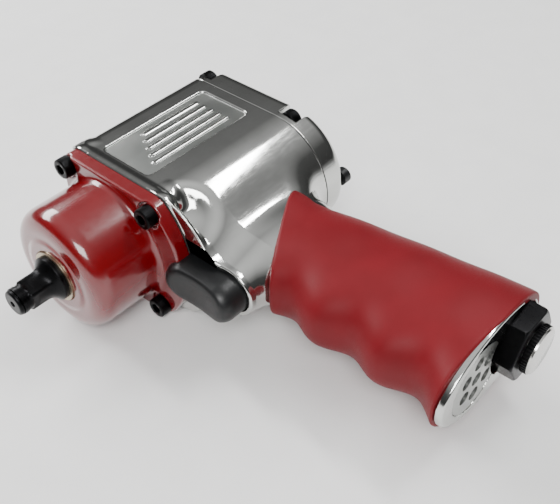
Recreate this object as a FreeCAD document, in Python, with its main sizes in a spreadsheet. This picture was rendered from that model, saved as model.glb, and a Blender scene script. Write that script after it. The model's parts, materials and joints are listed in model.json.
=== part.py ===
"""Compact air impact wrench with a twin hammer, lying on its flat right side.

Frame: +X runs to the back along the drive axis, +Y runs away from the handle and +Z is the tool's
left side.  x = 0 is the joint between hammer case and motor housing, y = 0 is the drive axis, and
z = 0 is the flat side that the tool rests on.
"""
import FreeCAD, Part
import math
import os

import Sketcher
from FreeCAD import Placement, Rotation, Vector

SIZES = {
    # Housing block, seen along the drive axis
    "axis_height": 29.0,
    "block_top": 27.5,
    "belly_radius": 38.5,
    "corner_round": 5.0,
    "lobe_radius": 28.2,
    "lobe_drop": 21.6,
    "lobe_start": 14.0,
    "housing_length": 68.0,
    "gasket": 0.5,
    "motor_bore": 22.8,
    # Hammer case
    "case_radius": 26.3,
    "case_length": 36.0,
    "case_wall": 3.5,
    "case_nose_wall": 4.5,
    "case_round": 5.5,
    "case_flange": 6.0,
    "spot_face": 1.5,
    "opening_radius": 10.8,
    # Rear cover
    "cover_length": 12.5,
    "cover_flange": 3.5,
    "cover_half_width": 28.2,
    "cover_round": 3.0,
    # Cap screws
    "screw_radius": 2.5,
    "head_radius": 4.25,
    "head_height": 5.0,
    "socket_radius": 2.3,
    "socket_depth": 2.6,
    "front_reach": 10.5,
    "rear_reach": 14.0,
    "front_screw_up": 23.7,
    "front_screw_side": 23.6,
    "rear_screw_up": 24.2,
    "rear_screw_side": 24.4,
    "notch_radius": 5.4,
    # Anvil and its bush
    "drive_square": 9.53,
    "square_turn": 12.0,
    "anvil_reach": 55.6,
    "nose_radius": 5.3,
    "nose_length": 5.2,
    "groove_depth": 1.0,
    "groove_width": 2.0,
    "flare_start": 45.0,
    "flare_end": 38.5,
    "journal_radius": 9.25,
    "bush_stand_out": 0.6,
    "anvil_body": 10.6,
    "anvil_back": 6.8,
    "pilot_radius": 3.0,
    # Twin hammer
    "cage_radius": 21.5,
    "cage_front": 29.2,
    "cage_front_wall": 2.5,
    "cage_back_wall": 4.0,
    "cage_back": 2.2,
    "web_inner": 19.6,
    "web_half_width": 7.0,
    "pin_radius": 2.5,
    "pin_circle": 16.5,
    "hammer_length": 9.6,
    "hammer_outer": 17.0,
    "hammer_inner": 12.2,
    "ear_radius": 4.8,
    "dog_half_width": 2.2,
    "dog_reach": 9.4,
    "groove_floor": 8.6,
    "groove_half_width": 4.6,
    # Motor
    "plate_radius": 22.5,
    "front_plate_start": 2.5,
    "plate_length": 6.5,
    "plate_lip": 1.0,
    "liner_length": 42.0,
    "liner_bore": 17.6,
    "liner_offset": 1.9,
    "rotor_radius": 15.0,
    "shaft_front": 6.0,
    "shaft_back": 5.0,
    "shaft_back_end": 61.0,
    "rotor_square": 9.0,
    "front_race": 12.0,
    "back_race": 11.0,
    "vane_thick": 2.0,
    "vane_tall": 5.6,
    "vane_tip": 15.55,
    "slot_floor": 8.2,
    "dowel_radius": 1.5,
    "dowel_up": 19.3,
    # Handle
    "core_top_front": 13.0,
    "core_top_back": 53.0,
    "core_foot_front": 12.8,
    "core_foot_back": 63.5,
    "core_half_width": 14.4,
    "core_foot_width": 15.6,
    "core_top_drop": 72.0,
    "core_foot_drop": 136.0,
    "core_end_front": 7.0,
    "core_end_inset": 2.0,
    "seam": 0.1,
    "handle_end": 148.6,
    "end_lip": 3.4,
    "end_front": 3.0,
    "end_back": 67.0,
    "end_half_width": 18.8,
    "groove_pitch": 27.3,
    "grip_front": 5.0,
    "finger_depth": 4.2,
    "grip_back_top": 55.0,
    "grip_back_end": 68.0,
    "grip_half_width": 17.6,
    "grip_end_width": 19.2,
    "grip_tilt": 29.0,
    "grip_slant_drop": 85.4,
    "grip_slant_x": -20.0,
    # Trigger
    "trigger_top": 31.5,
    "trigger_tall": 34.0,
    "trigger_half_width": 8.7,
    "trigger_reach": 11.0,
    "trigger_tail": 8.2,
    "trigger_dish": 2.0,
    "dish_radius": 60.0,
    "trigger_edge": 2.4,
    "trigger_travel": 4.5,
    "shroud_front": 1.0,
    "shroud_wall": 2.6,
    "shroud_length": 23.0,
    "rod_drop": 50.0,
    "rod_radius": 2.0,
    "guide_radius": 4.2,
    "guide_length": 6.0,
    # Air way
    "valve_x": 38.0,
    "chamber_radius": 8.4,
    "upper_radius": 7.6,
    "chamber_top": 34.0,
    "chamber_step": 72.0,
    "chamber_foot": 133.0,
    "seat_tall": 3.0,
    "seat_bore": 4.6,
    "valve_disc": 6.4,
    "disc_tall": 2.6,
    "stem_radius": 1.6,
    "stem_top": 47.5,
    "port_drop": 39.0,
    "port_radius": 5.5,
    "exhaust_radius": 3.6,
    "exhaust_side": 8.0,
    "exhaust_x": 25.0,
    "muffler_long": 12.0,
    "muffler_wide": 11.5,
    "muffler_tall": 5.6,
    "plate_long": 14.6,
    "plate_wide": 14.0,
    "plate_thick": 1.5,
    "plate_sink": 0.3,
    "vent_radius": 2.75,
    "vent_circle": 7.8,
    # Inlet
    "inlet_x": 49.7,
    "inlet_bore": 10.0,
    "hex_flats": 25.4,
    "collar_radius": 13.3,
    "collar_tall": 0.6,
    "inlet_sink": 3.4,
    "hex_gap": 0.4,
    "washer_tall": 0.6,
    "washer_outer": 12.6,
    "inlet_end": 155.5,
    "bush_top": 134.0,
    "thread_radius": 5.72,
    "thread_length": 12.0,
    "mouth_radius": 7.2,
    "mouth_depth": 3.0,
    "plug_radius": 9.6,
    "plug_tall": 3.5,
    "plug_stub": 6.9,
    # Reverse control
    "reverse_drop": 26.5,
    "reverse_gap": 2.2,
    "reverse_radius": 9.0,
    "reverse_length": 6.0,
    "reverse_shaft": 3.5,
    "lever_thick": 2.6,
    "lever_reach": 20.0,
    "lever_half_width": 2.6,
    # Clearances
    "fit": 0.03,
    "run": 0.05,
    "loose": 0.15,
    "free": 0.3,
}

ALONG_X = Rotation(Vector(0, 0, 1), Vector(1, 0, 0))
ALONG_Y = Rotation(Vector(0, 0, 1), Vector(0, 1, 0))
ALONG_Z = Rotation()
# An ellipse lying flat across Y, with its long axis along X or along Z
ACROSS_Y = Rotation(Vector(1, 0, 0), 90)
ACROSS_Y_WIDE = ACROSS_Y * Rotation(Vector(0, 0, 1), 90)
VANES = 6
SIDES = (-1, 1)

doc = FreeCAD.newDocument("impact_wrench")
sheet = doc.addObject("Spreadsheet::Sheet", "sizes")
for row, (alias, value) in enumerate(SIZES.items(), start=1):
    sheet.set(f"A{row}", alias)
    sheet.set(f"B{row}", str(value))
    sheet.setAlias(f"B{row}", alias)
doc.recompute()
TRIAL_CELL = "D1"
nodes = []


def linked(text):
    """The same formula with each size read from the sheet."""
    words = []
    word = ""
    for letter in text + " ":
        if letter.isalnum() or letter == "_":
            word += letter
            continue
        words.append("sizes." + word if word in SIZES else word)
        words.append(letter)
        word = ""
    return "".join(words).strip()


def number(text):
    """The present value of a formula, worked out by the sheet itself."""
    sheet.set(TRIAL_CELL, "=" + text)
    sheet.recompute()
    result = float(sheet.get(TRIAL_CELL))
    sheet.clear(TRIAL_CELL)
    return result


def bind(item, field, text):
    """Tie one property to a formula of the sheet's sizes."""
    item.setExpression(field, linked(text))


def place(item, at, turn=ALONG_Z):
    """Set the placement, each coordinate tied to its formula."""
    item.Placement = Placement(Vector(), turn)
    for axis, text in zip("xyz", at):
        bind(item, "Placement.Base." + axis, text)
    return item


def primitive(kind, name, at, turn, **fields):
    """A Part primitive whose fields follow formulas."""
    item = doc.addObject("Part::" + kind, name)
    for field, text in fields.items():
        bind(item, field, text)
    return place(item, at, turn)


def rod(name, start, radius, length, up="0", side="0", turn=ALONG_X):
    """A cylinder along X from start, up and side measured from the drive axis."""
    return primitive("Cylinder", name, (start, up, "axis_height + " + side), turn, Radius=radius, Height=length)


def column(name, at_x, low_y, radius, tall, side="0"):
    """A cylinder along Y, its lower end at low_y."""
    return primitive("Cylinder", name, (at_x, low_y, "axis_height + " + side), ALONG_Y, Radius=radius, Height=tall)


def block(name, start, low_y, low_side, length, tall, wide):
    """A box with its low corner at the given place."""
    at = (start, low_y, "axis_height + " + low_side)
    return primitive("Box", name, at, ALONG_Z, Length=length, Width=tall, Height=wide)


def cut(name, base, *tools):
    """Base with every tool removed, one after another."""
    for index, tool in enumerate(tools, start=1):
        item = doc.addObject("Part::Cut", name if index == len(tools) else f"{name}_cut{index}")
        item.Base = base
        item.Tool = tool
        base = item
    return base


def fuse(name, *parts):
    """All the parts as one solid."""
    item = doc.addObject("Part::MultiFuse", name)
    item.Shapes = list(parts)
    item.Refine = True
    return item


def common(name, *parts):
    """The space that all the parts share."""
    item = doc.addObject("Part::MultiCommon", name)
    item.Shapes = list(parts)
    return item


def group(name, parts):
    """Several equal solids as one node."""
    item = doc.addObject("Part::Compound", name)
    item.Links = list(parts)
    return item


def outline(body, role, points):
    """A closed sketch on one origin plane, each corner tied to its two formulas."""
    sketch = body.newObject("Sketcher::SketchObject", body.Name + "_outline")
    plane = next(feature for feature in body.Origin.OriginFeatures if feature.Role == role)
    sketch.AttachmentSupport = [(plane, "")]
    sketch.MapMode = "FlatFace"
    corners = [Vector(number(across), number(up), 0) for across, up in points]
    for start, end in zip(corners, corners[1:] + corners[:1]):
        sketch.addGeometry(Part.LineSegment(start, end))
    count = len(points)
    for side in range(count):
        sketch.addConstraint(Sketcher.Constraint("Coincident", side, 2, (side + 1) % count, 1))
    for side, (corner, texts) in enumerate(zip(corners, points)):
        for kind, text, value in zip(("DistanceX", "DistanceY"), texts, corner):
            index = sketch.addConstraint(Sketcher.Constraint(kind, -1, 1, side, 1, value))
            sketch.setExpression(f"Constraints[{index}]", linked(text))
    return sketch


def turned(name, points, up="0", side="0"):
    """A body turned about an X axis, its outline given as (place along X, radius)."""
    body = doc.addObject("PartDesign::Body", name)
    sketch = outline(body, "XY_Plane", points)
    revolution = body.newObject("PartDesign::Revolution", name + "_turning")
    revolution.Profile = sketch
    revolution.ReferenceAxis = (sketch, ["H_Axis"])
    revolution.Angle = 360
    return place(body, ("0", up, "axis_height + " + side))


def turned_upright(name, points, at_x):
    """A body turned about a Y axis, its outline given as (radius, drop below the drive axis)."""
    body = doc.addObject("PartDesign::Body", name)
    sketch = outline(body, "XY_Plane", [(radius, f"-({drop})") for radius, drop in points])
    revolution = body.newObject("PartDesign::Revolution", name + "_turning")
    revolution.Profile = sketch
    revolution.ReferenceAxis = (sketch, ["V_Axis"])
    revolution.Angle = 360
    return place(body, (at_x, "0", "axis_height"))


def ring(start, end, inner, outer):
    """The outline of a plain ring."""
    return [(start, inner), (end, inner), (end, outer), (start, outer)]


def rounded(name, base, radius, wanted):
    """Base with a fillet on the edges that the test picks."""
    doc.recompute()
    item = doc.addObject("Part::Fillet", name)
    item.Base = base
    size = number(radius)
    edges = base.Shape.Edges
    item.Edges = [(index, size, size) for index, edge in enumerate(edges, start=1) if wanted(edge)]
    return item


def runs_along(edge, direction):
    """True for a straight edge that lies along the direction."""
    if len(edge.Vertexes) != 2 or not isinstance(edge.Curve, Part.Line):
        return False
    return abs(edge.tangentAt(edge.FirstParameter).dot(direction)) > 0.999


def lies_at_x(edge, place_x):
    """True for an edge that lies whole in the plane across X."""
    box = edge.BoundBox
    return abs(box.XMin - place_x) < 1e-3 and abs(box.XMax - place_x) < 1e-3


def keep(item, label):
    """Give a finished sub-part the name of its node."""
    item.Label = label
    nodes.append(item)
    return item


def block_section(name, start, length, half_width):
    """The housing outline: flat top and sides, and a round belly about the drive axis."""
    slab = block(name + "_slab", start, "-belly_radius", f"-({half_width})", length,
                 "belly_radius + block_top", f"2 * ({half_width})")
    soft_slab = rounded(name + "_soft", slab, "corner_round", lambda edge: runs_along(edge, Vector(1, 0, 0)))
    belly = rod(name + "_belly", start, "belly_radius", length)
    return common(name, soft_slab, belly)


def screw_places(up, side):
    """The four corners of a screw pattern as formulas."""
    return [(f"{row} * {up}", f"{column_} * {side}") for row in SIDES for column_ in SIDES]


def cap_screws(label, seat, up, side, facing, reach):
    """Four socket-head screws whose heads sit on the plane x = seat and face along facing."""
    screws = []
    for index, (row, column_) in enumerate(screw_places(up, side), start=1):
        name = f"{label}_{index}"
        tip = f"{seat} - {facing} * {reach}"
        face = f"{seat} + {facing} * head_height"
        floor = f"{seat} + {facing} * (head_height - socket_depth)"
        profile = [(tip, "0"), (tip, "screw_radius"), (seat, "screw_radius"), (seat, "head_radius"),
                   (face, "head_radius"), (face, "socket_radius"), (floor, "socket_radius"), (floor, "0")]
        screws.append(turned(name, profile, row, column_))
    return keep(group(label + "_group", screws), label)


def screw_tools(label, start, length, radius, up, side):
    """Four cylinders at a screw pattern, for holes and spot faces."""
    tools = []
    for index, (row, column_) in enumerate(screw_places(up, side), start=1):
        tools.append(rod(f"{label}_{index}", start, radius, length, row, column_))
    return tools


def ellipse(name, drop, front, back, half_width):
    """One section of the handle, given by its front, its back and half its width."""
    at = (f"({front} + {back}) / 2", f"-({drop})", "axis_height")
    half_depth = f"({back} - ({front})) / 2"
    if number(half_depth) >= number(half_width):
        return primitive("Ellipse", name, at, ACROSS_Y, MajorRadius=half_depth, MinorRadius=half_width)
    return primitive("Ellipse", name, at, ACROSS_Y_WIDE, MajorRadius=half_width, MinorRadius=half_depth)


def loft(name, sections, ruled):
    """A solid through ellipses given as (drop, front, back, half_width)."""
    item = doc.addObject("Part::Loft", name)
    item.Sections = [ellipse(f"{name}_{index}", *section) for index, section in enumerate(sections, start=1)]
    item.Solid = True
    item.Ruled = ruled
    return item


def shroud(name, start, length, grow):
    """The stadium round the trigger: two round ends and a straight middle."""
    radius = f"trigger_half_width + {grow}"
    upper = rod(name + "_upper", start, radius, length, "-(trigger_top + trigger_half_width)")
    lower = rod(name + "_lower", start, radius, length, "-(trigger_top + trigger_tall - trigger_half_width)")
    middle = block(name + "_middle", start, "-(trigger_top + trigger_tall - trigger_half_width)", f"-({radius})",
                   length, "trigger_tall - 2 * trigger_half_width", f"2 * ({radius})")
    return fuse(name, upper, lower, middle)


# Hammer case: a turned cup on the flange, with the bush opening in its nose
front_seat = "-case_flange + spot_face"
case_cup = turned("case_cup", [
    ("-case_length", "opening_radius"),
    ("-case_length", "case_radius"),
    ("0", "case_radius"),
    ("0", "case_radius - case_wall"),
    ("-case_length + case_nose_wall", "case_radius - case_wall"),
    ("-case_length + case_nose_wall", "opening_radius"),
])
case_shell = rounded("case_shell", case_cup, "case_round",
                     lambda edge: lies_at_x(edge, -SIZES["case_length"])
                     and edge.BoundBox.YLength > 2 * SIZES["case_radius"] - 1)
case_plate = block_section("case_plate", "-case_flange", "case_flange", "axis_height")
case_plate_open = cut("case_plate_open", case_plate,
                      rod("case_plate_bore", "-case_flange - 1", "case_radius - case_wall", "case_flange + 2"))
spot_faces = screw_tools("case_spot_face", "-case_flange - 3", "3 + spot_face", "notch_radius",
                         "front_screw_up", "front_screw_side")
case_holes = screw_tools("case_hole", "-case_flange - 3", "case_flange + 4", "screw_radius + loose",
                         "front_screw_up", "front_screw_side")
plate_cut = cut("case_plate_cut", case_plate_open, *spot_faces, *case_holes,
                shroud("case_trigger_notch", "-case_flange - 1", "case_flange + 2", "free"))
keep(fuse("hammer_case_solid", case_shell, plate_cut), "hammer_case")
cap_screws("front_case_screws", front_seat, "front_screw_up", "front_screw_side", -1, "front_reach")

# Gaskets at both joints
front_sheet = block_section("front_sheet", "fit", "gasket - 2 * fit", "axis_height")
keep(cut("front_gasket_solid", front_sheet,
         rod("front_gasket_bore", "-1", "motor_bore", "3"),
         shroud("front_gasket_notch", "-1", "3", "free"),
         *screw_tools("front_gasket_hole", "-1", "3", "screw_radius + loose", "front_screw_up", "front_screw_side")),
     "front_gasket")


def cover_section(name, start, length):
    """The rear outline: the block's upper part with a round lobe below it."""
    upper = block(name + "_upper", start, "-lobe_drop", "-cover_half_width", length,
                  "lobe_drop + block_top", "2 * cover_half_width")
    rounded_upper = rounded(name + "_rounded", upper, "corner_round",
                            lambda edge: runs_along(edge, Vector(1, 0, 0)) and edge.BoundBox.YMin > 0)
    lobe = rod(name + "_lobe", start, "lobe_radius", length, "-lobe_drop")
    return fuse(name, rounded_upper, lobe)


rear_sheet = cover_section("rear_sheet", "housing_length + fit", "gasket - 2 * fit")
keep(cut("rear_gasket_solid", rear_sheet,
         rod("rear_gasket_bore", "housing_length - 1", "motor_bore - 5", "3"),
         rod("rear_gasket_port", "housing_length - 1", "port_radius", "3", "-port_drop"),
         *screw_tools("rear_gasket_hole", "housing_length - 1", "3", "screw_radius + loose",
                      "rear_screw_up", "rear_screw_side")), "rear_gasket")

# Motor housing with the handle core in one casting
barrel = block_section("barrel", "gasket", "housing_length - gasket", "axis_height")
lobe = rod("barrel_lobe", "lobe_start", "lobe_radius", "housing_length - lobe_start", "-lobe_drop")


def core_sections(grow):
    """Sections from the barrel down through the handle core, grown by a clearance."""
    return [
        ("18", f"4 - {grow}", f"67 + {grow}", f"26 + {grow}"),
        ("46", f"6 - {grow}", f"63 + {grow}", f"18 + {grow}"),
        ("core_top_drop", f"core_top_front - {grow}", f"core_top_back + {grow}", f"core_half_width + {grow}"),
        ("core_foot_drop", f"core_foot_front - {grow}", f"core_foot_back + {grow}", f"core_foot_width + {grow}"),
        ("handle_end - end_lip + seam", f"end_front + core_end_front - {grow}",
         f"end_back - core_end_inset + {grow}", f"end_half_width - core_end_inset + {grow}"),
    ]


core = loft("core", core_sections("0"), True)
trigger_shroud = shroud("trigger_shroud", "shroud_front", "shroud_length", "shroud_wall")
end_foot = loft("end_foot", [
    ("handle_end - end_lip", "end_front", "end_back", "end_half_width"),
    ("handle_end", "end_front", "end_back", "end_half_width"),
], True)
casting = fuse("casting", barrel, lobe, core, trigger_shroud, end_foot)


def exhaust_pocket(name, low_drop, tall, long_, wide):
    """An oval prism about the exhaust centre, its open end towards the handle end."""
    base = primitive("Ellipse", name + "_oval", ("exhaust_x", f"-({low_drop})", "axis_height"), ACROSS_Y,
                     MajorRadius=long_, MinorRadius=wide)
    item = doc.addObject("Part::Extrusion", name)
    item.Base = base
    item.DirMode = "Custom"
    item.Dir = Vector(0, 1, 0)
    bind(item, "LengthFwd", tall)
    item.Solid = True
    return item


pocket_floor = "trigger_tail + trigger_travel + free"
housing_tools = [
    rod("motor_bore_tool", "-1", "motor_bore", "housing_length + 2"),
    shroud("trigger_pocket", "shroud_front - 1", f"{pocket_floor} - shroud_front + 1", "free"),
    rod("guide_bore", f"{pocket_floor} - 1", "guide_radius + fit", "guide_length + 1", "-rod_drop"),
    rod("rod_way", pocket_floor, "rod_radius + 0.4", f"valve_x - ({pocket_floor})", "-rod_drop"),
    column("upper_chamber", "valve_x", "-chamber_step - 1", "upper_radius", "chamber_step - chamber_top + 1"),
    column("lower_chamber", "valve_x", "-chamber_foot", "chamber_radius", "chamber_foot - chamber_step"),
    rod("air_port", "valve_x", "port_radius", "housing_length - valve_x + 1", "-port_drop"),
    column("inlet_bore_tool", "inlet_x", "-handle_end - 1", "inlet_bore", "handle_end + 1 - 125"),
    column("hex_recess", "inlet_x", "-handle_end - 1", "hex_flats / sqrt(3) + hex_gap", "inlet_sink + 1"),
    exhaust_pocket("plate_recess", "handle_end + 1", "1 + plate_sink + plate_thick",
                   "plate_long + loose", "plate_wide + loose"),
    exhaust_pocket("muffler_recess", "handle_end - 1", "plate_sink + muffler_tall + 0.5",
                   "muffler_long + loose", "muffler_wide + loose"),
]
for name, side in (("left", "exhaust_side"), ("right", "-exhaust_side")):
    housing_tools.append(column("exhaust_way_" + name, "exhaust_x", "-handle_end + 5", "exhaust_radius",
                                "handle_end - 25", side))
housing_tools += screw_tools("front_tap", "-1", "front_reach + 1", "screw_radius + fit",
                             "front_screw_up", "front_screw_side")
housing_tools += screw_tools("rear_tap", "housing_length - rear_reach", "rear_reach + 1",
                             "screw_radius + fit", "rear_screw_up", "rear_screw_side")
keep(cut("motor_housing_solid", casting, *housing_tools), "motor_housing")

# Rear cover, with notches for its screws and the seat of the reverse valve
cover_start = "housing_length + gasket"
cover_block = cover_section("cover_block", cover_start, "cover_length")
rear_seat = cover_start + " + cover_flange"
cover_round = rounded("cover_round_solid", cover_block, "cover_round",
                      lambda edge: lies_at_x(edge, number(cover_start + " + cover_length")))
cover_tools = [
    rod("cover_recess", "housing_length - 1", "8", "4.5"),
    rod("reverse_bore", "housing_length - 1", "reverse_radius + run",
        "1 + gasket + reverse_gap + reverse_length + free", "-reverse_drop"),
    rod("reverse_shaft_bore", cover_start, "reverse_shaft + run", "cover_length + 1", "-reverse_drop"),
    rod("cover_port", "housing_length - 1", "port_radius", "6.5", "-port_drop"),
    block("cover_channel", "housing_length - 1", "-reverse_drop", "-4", "3.2", "reverse_drop - 9", "8"),
]
cover_tools += screw_tools("cover_notch", rear_seat, "cover_length", "notch_radius",
                           "rear_screw_up", "rear_screw_side")
cover_tools += screw_tools("cover_hole", "housing_length", "cover_length", "screw_radius + loose",
                           "rear_screw_up", "rear_screw_side")
keep(cut("rear_cover_solid", cover_round, *cover_tools), "rear_cover")
cap_screws("rear_cover_screws", rear_seat, "rear_screw_up", "rear_screw_side", 1, "rear_reach")

# Grip: a rubber sleeve with three finger grooves, cut off at a slant below the trigger
grip_stations = 9


def grip_section(step):
    """One section of the grip: crests at even steps below the trigger, grooves between them."""
    share = step / (grip_stations - 1)
    drop = f"handle_end - end_lip - ({grip_stations - 1} - {step}) * groove_pitch / 2 * 0.985"
    hollow = "finger_depth" if step % 2 else "0"
    front = f"grip_front + {hollow} - {3.0 * max(0.0, share - 0.86) / 0.14}"
    back = f"grip_back_top + (grip_back_end - grip_back_top) * {max(0.0, share - 0.25) / 0.75}"
    wide = f"grip_half_width + (grip_end_width - grip_half_width) * {share}"
    return drop, front, back, wide


grip_outer = loft("grip_outer", [grip_section(step) for step in range(grip_stations)], False)
slant = doc.addObject("Part::Box", "grip_slant")
slant.Length = 120
slant.Width = 60
slant.Height = 80
slant.Placement = Placement(Vector(), Rotation(Vector(0, 0, 1), SIZES["grip_tilt"]))
for axis, text in zip("xyz", ("grip_slant_x", "-grip_slant_drop", "axis_height - 40")):
    bind(slant, "Placement.Base." + axis, text)
grip_tools = [
    slant,
    loft("grip_core_tool", core_sections("loose"), True),
    rod("grip_lobe_tool", "lobe_start - 1", "lobe_radius + loose", "housing_length", "-lobe_drop"),
]
keep(cut("grip_sleeve_solid", grip_outer, *grip_tools), "grip_sleeve")

# Anvil: drive square, flared neck, journal and the grooved body inside the hammers
anvil_turned = turned("anvil_turned", [
    ("-flare_start + 1", "0"),
    ("-flare_start + 1", "drive_square / 2 + 0.6"),
    ("-flare_end - 2", "drive_square / 2 + 2.4"),
    ("-flare_end", "journal_radius"),
    ("-case_length + case_nose_wall + free", "journal_radius"),
    ("-case_length + case_nose_wall + free", "anvil_body"),
    ("-anvil_back", "anvil_body"),
    ("-anvil_back", "pilot_radius"),
    ("-cage_back", "pilot_radius"),
    ("-cage_back", "0"),
])
square_bar = primitive("Prism", "square_bar", ("-anvil_reach + nose_length", "0", "axis_height"),
                       ALONG_X * Rotation(Vector(0, 0, 1), 45 + SIZES["square_turn"]),
                       Circumradius="drive_square / sqrt(2)", Height="anvil_reach - nose_length - flare_end")
square_bar.Polygon = 4
square_limit = rod("square_limit", "-anvil_reach + nose_length - 1", "drive_square * 0.655",
                   "anvil_reach - flare_end")
square_end = common("square_end", square_bar, square_limit)
anvil_nose = turned("anvil_nose", [
    ("-anvil_reach", "0"),
    ("-anvil_reach", "nose_radius - 0.8"),
    ("-anvil_reach + 0.8", "nose_radius"),
    ("-anvil_reach + 1.6", "nose_radius"),
    ("-anvil_reach + 1.6", "nose_radius - groove_depth - 0.7"),
    ("-anvil_reach + 1.6 + groove_width", "nose_radius - groove_depth - 0.7"),
    ("-anvil_reach + 1.6 + groove_width", "nose_radius"),
    ("-anvil_reach + nose_length + 0.2", "nose_radius"),
    ("-anvil_reach + nose_length + 0.2", "0"),
])
anvil_sum = fuse("anvil_sum", anvil_turned, square_end, anvil_nose)
dog_ways = []
for name, side in (("upper", "groove_floor"), ("lower", "-groove_floor - 4")):
    dog_ways.append(block("dog_way_" + name, "-cage_front + cage_front_wall", side, "-groove_half_width",
                          "cage_front - cage_front_wall - anvil_back + 1", "4", "2 * groove_half_width"))
center_hole = rod("anvil_center_hole", "-anvil_reach - 1", "1.2", "3")
anvil = keep(cut("anvil_solid", anvil_sum, center_hole, *dog_ways), "anvil")

keep(turned("anvil_bushing", ring("-case_length - bush_stand_out", "-case_length + case_nose_wall",
                                  "journal_radius + run", "opening_radius - fit")), "anvil_bushing")
ring_start = "-anvil_reach + 1.6 + 0.1"
ring_end = "-anvil_reach + 1.6 + groove_width - 0.1"
keep(turned("friction_ring", ring(ring_start, ring_end, "nose_radius - 0.9", "nose_radius + 0.25")),
     "friction_ring")
keep(turned("retainer_oring", ring("-anvil_reach + 2", "-anvil_reach + 3.2", "nose_radius - 1.65",
                                   "nose_radius - 0.95")), "retainer_oring")

# Hammer cage with two pins and two hammers that rock on them
cage_profile = [("-cage_front", "anvil_body + 0.6"), ("-cage_front + cage_front_wall", "anvil_body + 0.6"),
                ("-cage_front + cage_front_wall", "cage_radius"), ("-cage_front", "cage_radius")]
cage_front = turned("cage_front_plate", cage_profile)
cage_back = rod("cage_back_plate", "-cage_back - cage_back_wall", "cage_radius", "cage_back_wall")
cage_tube = turned("cage_tube", ring("-cage_front + 1", "-cage_back - 1", "web_inner", "cage_radius"))
web_box = block("cage_web_box", "-cage_front", "-web_half_width", "-cage_radius", "cage_front",
                "2 * web_half_width", "2 * cage_radius")
cage_webs = common("cage_webs", cage_tube, web_box)
cage_sum = fuse("cage_sum", cage_front, cage_back, cage_webs)
square_hole = block("cage_square_hole", "-cage_back - cage_back_wall - 1", "-rotor_square / 2 - fit",
                    "-rotor_square / 2 - fit", "cage_back_wall + 2", "rotor_square + 2 * fit",
                    "rotor_square + 2 * fit")
pin_holes = []
pins = []
for name, up in (("upper", "pin_circle"), ("lower", "-pin_circle")):
    pin_holes.append(rod("cage_pin_hole_" + name, "-cage_front - 1", "pin_radius + fit", "cage_front", up))
    pins.append(rod("hammer_pin_" + name, "-cage_front + 0.2", "pin_radius", "cage_front - cage_back - 0.4", up))
keep(cut("hammer_cage_solid", cage_sum, square_hole, *pin_holes), "hammer_cage")
keep(group("hammer_pins_group", pins), "hammer_pins")


def hammer(label, start, own):
    """A hammer ring: it rocks on its own pin and is notched round the other one."""
    own_up = f"{own} * pin_circle"
    body_ring = turned(label + "_ring", ring(start, start + " + hammer_length", "hammer_inner", "hammer_outer"))
    ear = rod(label + "_ear", start, "ear_radius", "hammer_length", own_up)
    low = "-hammer_inner - 1.4" if own > 0 else "dog_reach"
    dog = block(label + "_dog", start, low, "-dog_half_width", "hammer_length",
                "hammer_inner + 1.4 - dog_reach", "2 * dog_half_width")
    inside = rod(label + "_inside", start + " - 1", "hammer_inner", "hammer_length + 2")
    eared = cut(label + "_eared", fuse(label + "_sum", body_ring, ear), inside)
    whole = fuse(label + "_whole", eared, dog)
    notch_low = "-hammer_outer - 5" if own > 0 else "pin_circle - pin_radius - free"
    notch = block(label + "_notch", start + " - 1", notch_low, "-pin_radius - 2.7", "hammer_length + 2",
                  "hammer_outer + 5 - pin_circle + pin_radius + free", "2 * (pin_radius + 2.7)")
    bore = rod(label + "_bore", start + " - 1", "pin_radius + run", "hammer_length + 2", own_up)
    return keep(cut(label + "_solid", whole, notch, bore), label)


hammer("hammer_front", "-cage_front + cage_front_wall + 0.4", 1)
hammer("hammer_rear", "-cage_back - cage_back_wall - 0.4 - hammer_length", -1)

# Air motor: end plates, bearings, offset liner, rotor and vanes
front_end = "front_plate_start + plate_length"
liner_end = front_end + " + liner_length"
back_end = liner_end + " + plate_length"
dowel_holes = [rod(f"dowel_hole_{index}", start, "dowel_radius + fit", length, "dowel_up")
               for index, (start, length) in enumerate((
                   (front_end + " - 4", "8"), (front_end + " - 1", "liner_length + 2"), (liner_end + " - 4", "8")),
                   start=1)]
front_plate = turned("front_plate_turned", [
    ("front_plate_start", "front_race + fit"), (front_end + " - plate_lip", "front_race + fit"),
    (front_end + " - plate_lip", "shaft_front + 2"), (front_end, "shaft_front + 2"),
    (front_end, "plate_radius"), ("front_plate_start", "plate_radius")])
keep(cut("front_end_plate_solid", front_plate, dowel_holes[0]), "front_end_plate")
back_plate = turned("back_plate_turned", [
    (liner_end, "shaft_back + 2"), (liner_end + " + plate_lip", "shaft_back + 2"),
    (liner_end + " + plate_lip", "back_race + fit"), (back_end, "back_race + fit"),
    (back_end, "plate_radius"), (liner_end, "plate_radius")])
keep(cut("rear_end_plate_solid", back_plate, dowel_holes[2]), "rear_end_plate")


def bearing(label, start, end, inner, outer):
    """A ball bearing drawn as one ring with a groove at each side between its races."""
    middle = f"({inner} + {outer}) / 2"
    return keep(turned(label, [
        (start, inner), (end, inner), (end, middle + " - 1"), (end + " - 0.6", middle + " - 1"),
        (end + " - 0.6", middle + " + 1"), (end, middle + " + 1"), (end, outer), (start, outer),
        (start, middle + " + 1"), (start + " + 0.6", middle + " + 1"), (start + " + 0.6", middle + " - 1"),
        (start, middle + " - 1")]), label)


bearing("front_bearing", "front_plate_start + 0.1", front_end + " - plate_lip - 0.1", "shaft_front + fit",
        "front_race")
bearing("rear_bearing", liner_end + " + plate_lip + 0.1", back_end + " - 0.1", "shaft_back + fit", "back_race")

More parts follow.
